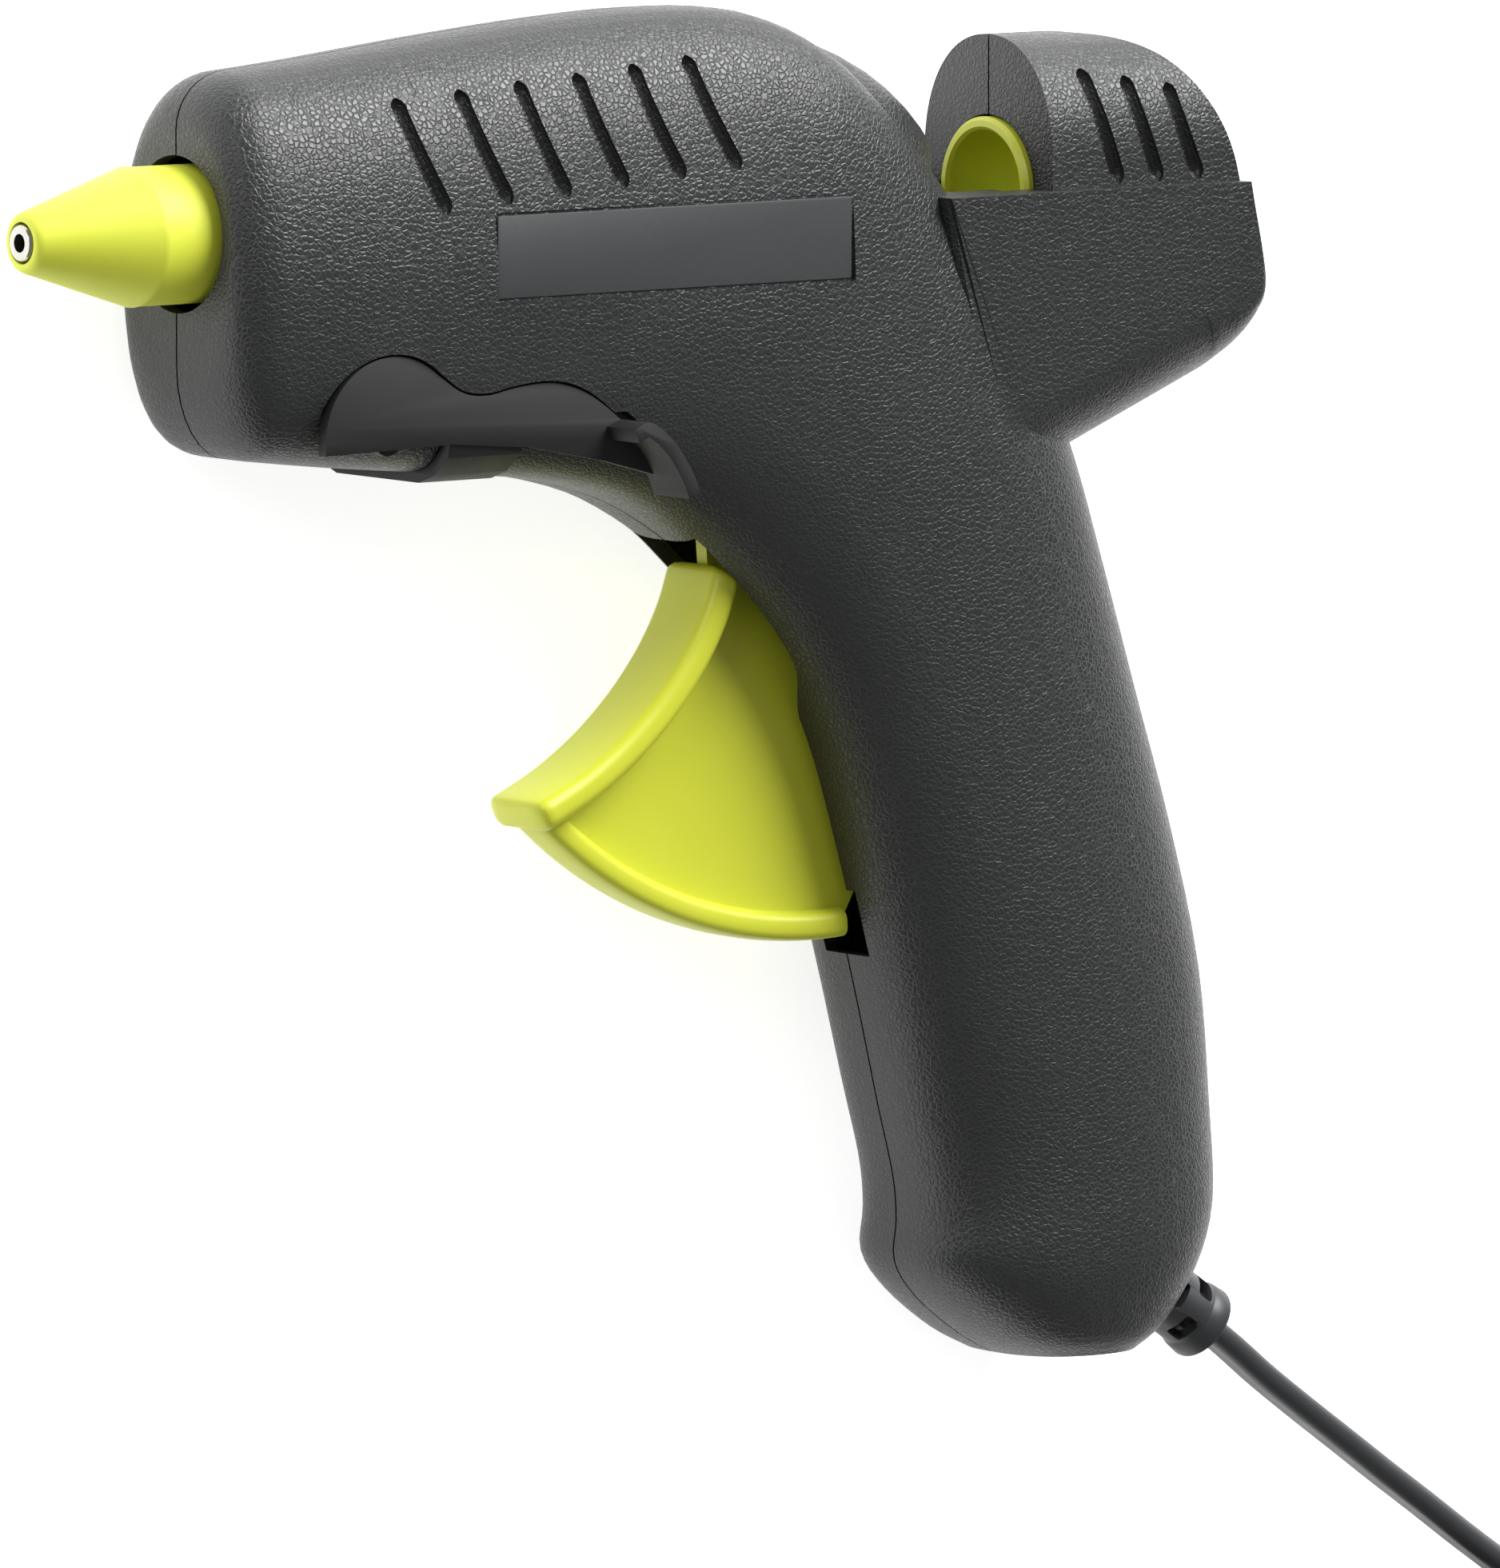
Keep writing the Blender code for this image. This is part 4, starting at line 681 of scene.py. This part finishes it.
def makeStand(material):
    inner, outer = standSet["inner"], standSet["outer"]
    plates = [prism(standOutline(), inner, outer), prism(standOutline(), -outer, -inner)]
    half = strapOutside + [(-26.0, inner + 0.1)] + strapInside[::-1]
    section = half + [(b, -c) for b, c in half[::-1]]
    strap = ringsSolid([[(a, b, c) for b, c in section] for a in standSet["strap"]])
    tabLine = [(80.3, -26.4), (83, -25.6), (86.6, -28.2), (89.4, -32.0), (90.8, -35.0)]
    top = smoothPath([(a, b, 0) for a, b in tabLine], 0.8)
    thick = []
    for i, p in enumerate(top):
        ahead = (top[min(i + 1, len(top) - 1)] - top[max(i - 1, 0)]).normalized()
        thick.append(p + Vector((ahead.y, -ahead.x, 0)) * standSet["tabThick"])
    outline = [(p.x, p.y) for p in top] + [(p.x, p.y) for p in reversed(thick)]
    tab = prism(outline, inner, outer + standSet["tabRise"])
    for s in (-1, 1):
        z0, z1 = sorted((s * (inner - 2.2), s * (inner + 0.4)))
        join(strap, discZ(*standSet["pivot"], standSet["stubR"], z0, z1))
    body = join(plates[0], plates[1], strap, tab)
    return finish(body, "foldingStand", material, "stand", ["stand"], 40, bevel=0.35)


# ---- glue path

def makeGluePath(silicone, lime, nickel):
    # x and radius round each profile
    sleeve = [(0, 2.7), (0.4, 2.7), (15.5, 6.9), (37.2, 6.9), (37.2, 8.5), (36.9, 8.85), (36.5, 8.9),
              (17.3, 8.9), (17.0, 8.95), (16.5, 9.0), (16.1, 8.85), (0.9, 4.05), (0.45, 3.85), (0.12, 3.5),
              (0, 3.15)]
    finish(turned(sleeve, 96), "nozzleSleeve", silicone, "casing", ["nozzle_sleeve"], 40)
    tip = [(-0.3, 1.2), (-0.3, 2.2), (-0.1, 2.36), (0.2, 2.4), (15.3, 6.6), (38.2, 6.6), (38.2, 5.3),
           (24, 5.3), (22, 2.6), (6, 1.2)]
    finish(turned(tip, 64), "nozzleTip", nickel, "casing", ["nozzle_tip"], 35)
    s = gluePathSet
    bore, out = s["tubeBore"], s["tubeBore"] + s["tubeWall"]
    c0, c1 = s["collarX"], s["collarX"] + s["collarLength"]
    start, end, rim = s["tubeStart"], s["tubeEnd"], out + s["collarRise"]
    tube = [(start, bore + 0.4), (start + 0.4, bore), (end - 2.4, bore), (end - 1.4, bore + 0.25),
            (end - 0.5, bore + 0.7), (end - 0.1, bore + 1.1), (end, bore + 1.3), (end - 0.05, out - 0.15),
            (end - 0.3, out), (c1, out), (c1, rim), (c0, rim), (c0, out), (start + 0.5, out),
            (start, out - 0.5)]
    finish(turned(tube, 96), "stickGuide", lime, "casing", ["guide_tube"], 40)


# ---- trigger

triggerSet = {"pivot": (124.0, -31.0), "rimR": 66.0, "rimThick": 4.0, "rimHalf": 3.6, "web": 2.2,
              "flangeHalf": 6.2, "flange": 4.2, "flangeEdge": 1.7, "flangeEnd": 1.2,
              "hub": 4.4, "hubHalf": 5.6, "boreR": 1.8, "armReach": 20.5, "armLean": 10.0, "forkHalf": 1.7,
              "springR": 5.6, "springWire": 0.45, "springTurns": 2, "springStart": 250.0, "springLeg": 9.0}


def makeTrigger(lime):
    s = triggerSet
    px, py = s["pivot"]
    front = [(105.6, -47.6), (104.0, -52.0), (101.5, -56.5), (98.2, -60.9), (94.3, -65.0), (89.6, -68.9),
             (84.0, -72.5), (77.6, -75.6)]
    line = smoothPath([(x, y, 0) for x, y in front], 1.0)
    middle = []
    for i, p in enumerate(line):
        ahead = (line[min(i + 1, len(line) - 1)] - line[max(i - 1, 0)]).normalized()
        middle.append(p + Vector((-ahead.y, ahead.x, 0)) * s["flange"] / 2)
    edge = s["flangeEdge"]
    wide, lip = s["flangeHalf"] - edge, s["flange"] / 2 - edge
    section = []
    for cx, cy, start in ((wide, lip, 0), (-wide, lip, 90), (-wide, -lip, 180), (wide, -lip, 270)):
        section += arc(cx, cy, edge, start + 4, start + 86, 7)
    rings = []
    for i, p in enumerate(middle):
        ahead = (middle[min(i + 1, len(middle) - 1)] - middle[max(i - 1, 0)]).normalized()
        thick = Vector((-ahead.y, ahead.x, 0))
        rings.append([p + thick * b + Vector((0, 0, a)) for a, b in section])
    caps = []      # both ends round off in three steps: how far in, and how full the section is
    for ring, centre, nextOne in ((rings[0], middle[0], middle[1]), (rings[-1], middle[-1], middle[-2])):
        inward = (nextOne - centre).normalized()
        caps.append([[centre + (v - centre) * share - inward * (s["flangeEnd"] - d) for v in ring]
                     for d, share in ((0, 0.62), (0.3, 0.85), (0.75, 0.96))])
    flange = ringsSolid(caps[0] + rings + caps[1][::-1])
    web = [(p.x, p.y) for p in middle] + arc(px, py, s["rimR"] - 0.6, 225, 274, 48)
    web += [(133, -88), (132, -70), (129, -50), (129.5, -31), (126, -20), (118, -30), (107.2, -43)]
    plate = prism(web, -s["web"] / 2, s["web"] / 2)
    rim = []
    for i in range(61):
        a = math.radians(225.4 + i * 0.81)
        out = Vector((math.cos(a), math.sin(a), 0))
        ring = []
        for k in range(24):
            t = 2 * math.pi * (k + 0.5) / 24
            c, q = math.cos(t), math.sin(t)
            r = s["rimR"] - s["rimThick"] / 2 + s["rimThick"] / 2 * math.copysign(abs(c) ** 0.6, c)
            z = s["rimHalf"] * math.copysign(abs(q) ** 0.6, q)
            ring.append(Vector((px, py, 0)) + out * r + Vector((0, 0, z)))
        rim.append(ring)
    lean = math.radians(90 - s["armLean"])
    out = Vector((math.cos(lean), math.sin(lean)))
    side = Vector((-out.y, out.x))
    pivot, slot = Vector(s["pivot"]), s["forkHalf"]
    start, end = pivot + out * 2, pivot + out * (s["armReach"] + 3.4)
    arm = (start - side * 3.2, end - side * 3.5, end + side * 3.5, start + side * 3.2)
    fork = prism([tuple(q) for q in arm], -2, 2)
    low, high = pivot + out * (s["armReach"] - slot), pivot + out * (s["armReach"] + 6)
    jaw = (low - side * slot, high - side * slot, high + side * slot, low + side * slot)
    cut(fork, prism([tuple(q) for q in jaw], -5, 5))
    body = join(flange, plate, ringsSolid(rim), discZ(px, py, s["hub"], -s["hubHalf"], s["hubHalf"]), fork)
    cut(body, discZ(px, py, s["boreR"], -8, 8))
    finish(body, "triggerLever", lime, "trigger", ["trigger"], 38)
    points = []
    first = math.radians(s["springStart"])
    for i in range(97):
        a = first + 2 * math.pi * s["springTurns"] * i / 96
        points.append((px + s["springR"] * math.cos(a), py + s["springR"] * math.sin(a), 2.8 + 2.3 * i / 96))
    leg = Vector((-math.sin(first), math.cos(first), 0)) * s["springLeg"]
    return [tuple(Vector(points[0]) - leg), *points, tuple(Vector(points[-1]) + leg)]


def makeSpring(points, steel):
    wire = roundWire([Vector(p) for p in points], triggerSet["springWire"], 12)
    finish(wire, "triggerSpring", steel, "casing", ["return_spring"], 40)


# ---- strain relief and cord

reliefSet = {"r": 5.2, "inside": 9.0, "outside": 11.5, "collarRise": 1.6, "boreR": 3.0, "windowHalf": 1.9,
             "windows": ((1.2, 3.7, 0), (5.4, 7.9, 45))}      # from, to, and turned by so many degrees


def makeRelief(pvc):
    s = reliefSet
    r, back, front, half = s["r"], -s["inside"], s["outside"], s["windowHalf"]
    body = stackX([(back, 4.6), (back + 1, r), (0.5, 5.0), (0.8, 4.7), (8.5, 4.7), (8.9, 5.0),
                   (front - 0.6, r), (front - 0.2, 5.1), (front, 4.8)], 64)
    join(body, stackX([(back, r + s["collarRise"]), (-6.7, r + s["collarRise"])], 64))
    cut(body, stackX([(-20, s["boreR"]), (20, s["boreR"])], 48))
    for x0, x1, turn in s["windows"]:
        for k in range(2):
            outline = softCorners([(x0, -half), (x1, -half), (x1, half), (x0, half)], 0.6, 4)
            window = prism(outline, -8, 8)
            window.data.transform(Matrix.Rotation(math.radians(turn + 90 * k), 4, 'X'))
            cut(body, window)
    finish(reliefFrame(body), "strainRelief", pvc, "casing", ["strain_relief"], 35, bevel=0.15)


cordSet = {"width": 5.4, "thick": 3.4, "coilCentre": (245.0, -234.8), "floor": -16.9 + 2.7 + 0.15,
           "coilTurns": 7, "turnIn": 145.5, "outerR": 39.3, "leadDown": 39.2}
cordRoute = [(182.2, -147.24, 0), (186.3, -150.1, 0), (190.6, -153.15, 0), (195, -156.4, 0),
             (200.4, -160.6, -0.2), (207.6, -165.6, -0.8), (215.5, -170.7, -2.0), (223.7, -175.9, -3.6),
             (232.1, -181.0, -5.5), (240.6, -186.2, -7.6), (247.0, -189.9, -9.4), (252.6, -193.2, -10.9),
             (257.4, -196.0, -12.2), (261.6, -198.6, -13.2), (264.6, -200.5, -13.8)]
# x and z of the last stretch, which runs straight into the plug
leadRoute = [(245.3, -14.15), (239, -14.15), (233, -13.4), (227, -12.0), (221.5, -10.6), (217.0, -10.05),
             (213.6, -10.05)]


def coilRoute():
    cx, cy = cordSet["coilCentre"]
    low = cordSet["floor"]
    points = []
    total = cordSet["turnIn"] + 360 * cordSet["coilTurns"]
    for i in range(int(total / 15) + 1):
        t = min(total, 15.0 * i)
        if t < 80:
            s = t / 80
            r = cordSet["outerR"] - 5.0 * s * s * (3 - 2 * s)
        elif t < 1160:
            r = 34.3 - 3.45 * (t - 80) / 360
        else:
            r = 23.95 + 3.2 * max(0.0, t - 1230) / 360
        rise = min(1.0, max(0.0, (t - 1150) / 90))
        fall = min(1.0, max(0.0, (t - (total - 85)) / 85))
        fall = fall * fall * (3 - 2 * fall)
        r += (39.35 - 36.7) * fall
        z = low + cordSet["width"] * rise * rise * (3 - 2 * rise) * (1 - fall)
        a = math.radians(55.5 - t)
        points.append((cx + r * math.cos(a), cy + r * math.sin(a), z))
    points.append((cx, cy - cordSet["outerR"], low))
    return points


def cordSection():
    half, r = (cordSet["width"] - cordSet["thick"]) / 2, cordSet["thick"] / 2
    section = []
    for k in range(14):
        t = math.pi * (k + 0.5) / 14
        section.append((r * math.cos(t), half + r * math.sin(t)))
    section += [(-r + 0.08, 0.3), (-r + 0.08, -0.3)]
    for k in range(14):
        t = math.pi + math.pi * (k + 0.5) / 14
        section.append((r * math.cos(t), -half + r * math.sin(t)))
    section += [(r - 0.08, -0.3), (r - 0.08, 0.3)]
    return section


def makeCord(pvc):
    cy = cordSet["coilCentre"][1] - cordSet["leadDown"]
    route = smoothPath(cordRoute + coilRoute()[:-2] + [(x, cy, z) for x, z in leadRoute], 2.6)
    tube = sweepSection(route, cordSection())
    path = [tuple(toMetres(p)) for p in route]
    length = sum((b - a).length for a, b in zip(route, route[1:])) * mm
    print("cord length", round(length, 4))
    obj = finish(tube, "powerCord", pvc, "casing", ["power_cord", "cord_coil", "plug_lead"], 50)
    return obj, path, length


# ---- plug and tie

plugSet = {"back": 215.7, "length": 36.0, "width": 35.3, "thick": 13.7, "pinR": 2.0, "pinLength": 19.0,
           "pinSpacing": 18.6, "ribs": 4, "ribSpacing": 2.4, "ribHalf": 0.5}


def makePlug(pvc, steel, satin):
    s = plugSet
    cx, coilY = cordSet["coilCentre"]
    cy, cz, half, back = coilY - cordSet["leadDown"], -restDepth + s["thick"] / 2, s["width"] / 2, s["back"]
    face = back - s["length"]
    outline = [(back, cy + 4.0), (back, cy - 4.0), (back - 11, cy - half + 5), (back - 18, cy - half),
               (face, cy - half), (face, cy + half), (back - 18, cy + half), (back - 11, cy + half - 5)]
    outline = softCorners(outline, [1.5, 1.5, 8, 8, 1.2, 1.2, 8, 8], 8)[::-1]
    body = paddedPlate(outline, s["thick"] / 2, 3.2, [1.6] * len(outline), 8)
    body.data.transform(Matrix.Translation((0, 0, cz)))
    collar = stackX([(back - 4, 4.6), (back + 0.0, 4.4)], 48, cy, cz)
    join(body, collar)
    cut(body, stackX([(back - 6, 3.0), (back + 4, 3.0)], 32, cy, cz))
    pins = []
    for side, name, node in ((-1, "lowerPin", "plug_pin_lower"), (1, "upperPin", "plug_pin_upper")):
        y = cy + side * s["pinSpacing"] / 2
        cut(body, stackX([(face - 5, s["pinR"] + 0.15), (face + 6.3, s["pinR"] + 0.15)], 32, y, cz))
        tip = face - s["pinLength"]
        r = s["pinR"]
        pin = stackX([(tip, r - 1.1), (tip + 0.25, r - 0.5), (tip + 0.8, r - 0.15), (tip + 1.5, r),
                      (face + 6, r)], 48, y, cz)
        pins.append(finish(pin, name, steel, "casing", [node], 35))
    rib = s["ribHalf"]
    for k in range(s["ribs"]):
        x = back - 5.5 - s["ribSpacing"] * k
        w = 6.5 + 1.6 * k
        for z in (cz - s["thick"] / 2, cz + s["thick"] / 2):
            cut(body, box(x - rib, x + rib, cy - w, cy + w, z - 0.6, z + 0.6))
    plug = finish(body, "plugBody", pvc, "casing", ["plug_body"], 35)
    low, high = cx - 4, cx + 4
    y0, y1 = coilY + 21.1, coilY + 37.3
    base, top = -restDepth, -restDepth + 11.1
    ring = softCorners([(y0 - 1, base), (y1 + 1, base), (y1 + 1, top + 1), (y0 - 1, top + 1)], 2.2, 6)
    hole = softCorners([(y0, base + 1), (y1, base + 1), (y1, top), (y0, top)], 1.4, 6)
    tie = ringsSolid([[(x, y, z) for y, z in ring] for x in (low, high)])
    cut(tie, ringsSolid([[(x, y, z) for y, z in hole] for x in (low - 5, high + 5)]))
    tie = finish(tie, "cordTie", satin, "casing", ["cord_tie"], 35, bevel=0.2)
    return [plug, *pins, tie]


# ---- housing screws

screwSet = {"headTop": -8.8, "headR": 2.8, "headHeight": 2.2, "shankR": 1.4, "length": 16.0, "pitch": 1.3}


# Thread-forming pan-head screws: one turned shape with a cross in its head, set on a point for each place.
def makeScrews(zinc):
    s = screwSet
    base = s["headTop"]
    head = s["headR"]
    profile = [(0.0, head * 0.82), (0.35, head * 0.97), (0.8, head), (s["headHeight"], head)]
    depth = s["headHeight"]
    while depth < s["length"]:
        profile += [(depth + 0.01, s["shankR"] * 0.74), (depth + s["pitch"] * 0.4, s["shankR"] * 0.74),
                    (depth + s["pitch"] * 0.7, s["shankR"])]
        depth += s["pitch"]
    profile += [(depth + 0.3, s["shankR"] * 0.7), (depth + 1.6, 0.35)]
    turn = [2 * math.pi * k / 28 for k in range(28)]
    shape = ringsSolid([[(r * math.cos(t), r * math.sin(t), d) for t in turn] for d, r in profile])
    reach = s["headR"] * 0.72
    cut(shape, box(-reach, reach, -0.36, 0.36, -1, 1.0), box(-0.36, 0.36, -reach, reach, -1, 1.0))
    for v in shape.data.vertices:
        v.co = v.co * mm
    shape.data.shade_smooth()
    shape.data.set_sharp_from_angle(angle=math.radians(35))

    points = bpy.data.meshes.new("screwPlaces")
    points.from_pydata([toMetres((x, y, base)) for x, y in screwPlaces], [], [])
    holder = bpy.data.objects.new("housingScrews", points)
    bpy.context.scene.collection.objects.link(holder)
    group = bpy.data.node_groups.new("screwsOnPlaces", 'GeometryNodeTree')
    face = group.interface
    face.new_socket("Geometry", in_out='INPUT', socket_type='NodeSocketGeometry')
    screwSocket = face.new_socket("Screw", in_out='INPUT', socket_type='NodeSocketObject')
    sizeSocket = face.new_socket("Screw Size", in_out='INPUT', socket_type='NodeSocketFloat')
    finishSocket = face.new_socket("Finish", in_out='INPUT', socket_type='NodeSocketMaterial')
    face.new_socket("Geometry", in_out='OUTPUT', socket_type='NodeSocketGeometry')
    given = addNode(group, 'NodeGroupInput')
    info = addNode(group, 'GeometryNodeObjectInfo', Object=given.outputs["Screw"])
    angle = addNode(group, 'FunctionNodeRandomValue', {"data_type": 'FLOAT'})
    angle.inputs[3].default_value = 3.1
    angle.inputs["Seed"].default_value = 4
    spin = addNode(group, 'ShaderNodeCombineXYZ')
    group.links.new(angle.outputs[1], spin.inputs["Z"])
    place = addNode(group, 'GeometryNodeInstanceOnPoints', Points=given.outputs["Geometry"],
                    Instance=info.outputs["Geometry"], Rotation=spin.outputs[0],
                    Scale=given.outputs["Screw Size"])
    real = addNode(group, 'GeometryNodeRealizeInstances', Geometry=place.outputs["Instances"])
    dressed = addNode(group, 'GeometryNodeSetMaterial', Geometry=real.outputs["Geometry"],
                      Material=given.outputs["Finish"])
    addNode(group, 'NodeGroupOutput', Geometry=dressed.outputs["Geometry"])
    step = holder.modifiers.new("screws", 'NODES')
    step.node_group = group
    step[screwSocket.identifier] = shape
    step[sizeSocket.identifier] = 1.0
    step[finishSocket.identifier] = zinc
    bpy.context.view_layer.update()
    graph = bpy.context.evaluated_depsgraph_get()
    made = bpy.data.meshes.new_from_object(holder.evaluated_get(graph))
    holder.modifiers.clear()
    holder.data = made
    bpy.data.objects.remove(shape, do_unlink=True)
    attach(holder, "casing")
    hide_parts(*["housing_screw_%d" % n for n in range(1, 7)])


# ---- whole scene

studioSet = {"floorHalf": 4.0, "floorDrop": 0.0003, "ambient": 0.26,
             "key": {"place": (0.8, 1.35, 1.0), "size": 1.3, "power": 66},
             "front": {"place": (-1.5, 0.9, 0.9), "size": 0.9, "power": 7}}


def makeStudio():
    half, z = studioSet["floorHalf"], -studioSet["floorDrop"]
    floor = solid([(-half, -half, z), (half, -half, z), (half, half, z), (-half, half, z)], [(0, 1, 2, 3)])
    floor.name = "tableTop"
    table, _, shader = newMaterial("whiteLaminate")
    setShader(shader, Base_Color=hexColour("#F4F4F4"), Roughness=0.8, Emission_Color=hexColour("#FFFFFF"),
              Emission_Strength=0.8)
    floor.data.materials.append(table)
    world = bpy.data.worlds.new("studio")
    bpy.context.scene.world = world
    world.use_nodes = True
    world.node_tree.nodes["Background"].inputs["Color"].default_value = (1, 1, 1, 1)
    world.node_tree.nodes["Background"].inputs["Strength"].default_value = studioSet["ambient"]
    for name in ("key", "front"):
        light = studioSet[name]
        makeLight(name + "Light", light["place"], (0, 0, 0), light["size"], light["power"])
    bpy.context.scene.view_settings.view_transform = 'Standard'


def main():
    makeCamera()
    makeStudio()

    # moulded ABS: a dull even grey that breaks up into fine points of light
    abs_ = grainedAbs("mouldedAbsLeatherGrain", "#2A2B2C", "#222324", 0.38)
    # glass-filled nylon: darker and smoother than the casing round it
    satin = mouldedPlastic("satinNylon", "#111111", "#0C0C0C", 0.6)
    # coloured ABS, a little see-through at its edges, and softer silicone, which is brighter and more matt
    lime = mouldedPlastic("limeAbs", "#CDD23C", "#C3C932", 0.36, subsurface=0.1)
    silicone = mouldedPlastic("limeSilicone", "#DCE34C", "#D2DA3A", 0.5, subsurface=0.15)
    # soft PVC: a low, broad shine along the cord
    pvc = mouldedPlastic("cordPvc", "#363739", "#2F3032", 0.45)
    # printed film with nothing on it, one shade lighter than the casing
    plate = mouldedPlastic("matteLabelFilm", "#414243", "#3A3B3C", 0.5, 0.03, 900.0)
    # metals: turned, plated and cast, from bright to dull
    brass = plainMetal("turnedBrass", "#D9B36A", "#C49B52", 0.28)
    nickel = plainMetal("nickelPlate", "#C9C7C0", "#A8A69F", 0.25)
    steel = plainMetal("zincedSteel", "#C4C5C6", "#A9AAAB", 0.3)
    cast = plainMetal("castAluminium", "#B9BABB", "#9B9C9D", 0.5, 700.0, 0.04)
    # what sits inside: matt silicone, amber film, tan heat board and a braided sleeve
    rubber = mouldedPlastic("greySilicone", "#A09C99", "#8C8885", 0.6)
    film = mouldedPlastic("polyimideFilm", "#B0762A", "#95601F", 0.35)
    board = mouldedPlastic("heatBoard", "#B3A78A", "#9C9075", 0.75, 0.06)
    sleeving = braidedSleeve("glassSleeving", "#DCD8CF", "#B9B4A8")
    print("materials made")

    makeCasing(abs_)
    print("casing made")
    makeLabels(plate)
    makeStand(satin)
    makeGluePath(silicone, lime, nickel)
    makeSpring(makeTrigger(lime), steel)
    print("lever, stand and glue path made")
    makeScrews(steel)
    print("screws placed")
    makeRelief(pvc)
    ends = makePlug(pvc, steel, satin)
    cord, path, length = makeCord(pvc)
    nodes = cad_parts
    print("cord and plug made")

    looks = {"melt_chamber": cast, "heater_element": film, "heater_clip": steel, "front_support_ring": board,
             "rear_support_ring": board, "inlet_sleeve": rubber, "sleeve_clamp": steel, "trigger_pin": steel,
             "cord_end": pvc, "cord_clamp": satin, "clamp_screw_lower": steel, "clamp_screw_upper": steel,
             "live_connector": brass, "neutral_connector": brass,
             "live_lead": sleeving, "neutral_lead": sleeving, "feed_carriage": satin, "jaw_pin": steel,
             "drive_pin": steel, "grip_jaw": steel}
    for name, material in looks.items():
        for slot in nodes[name].material_slots:
            slot.material = material


main()
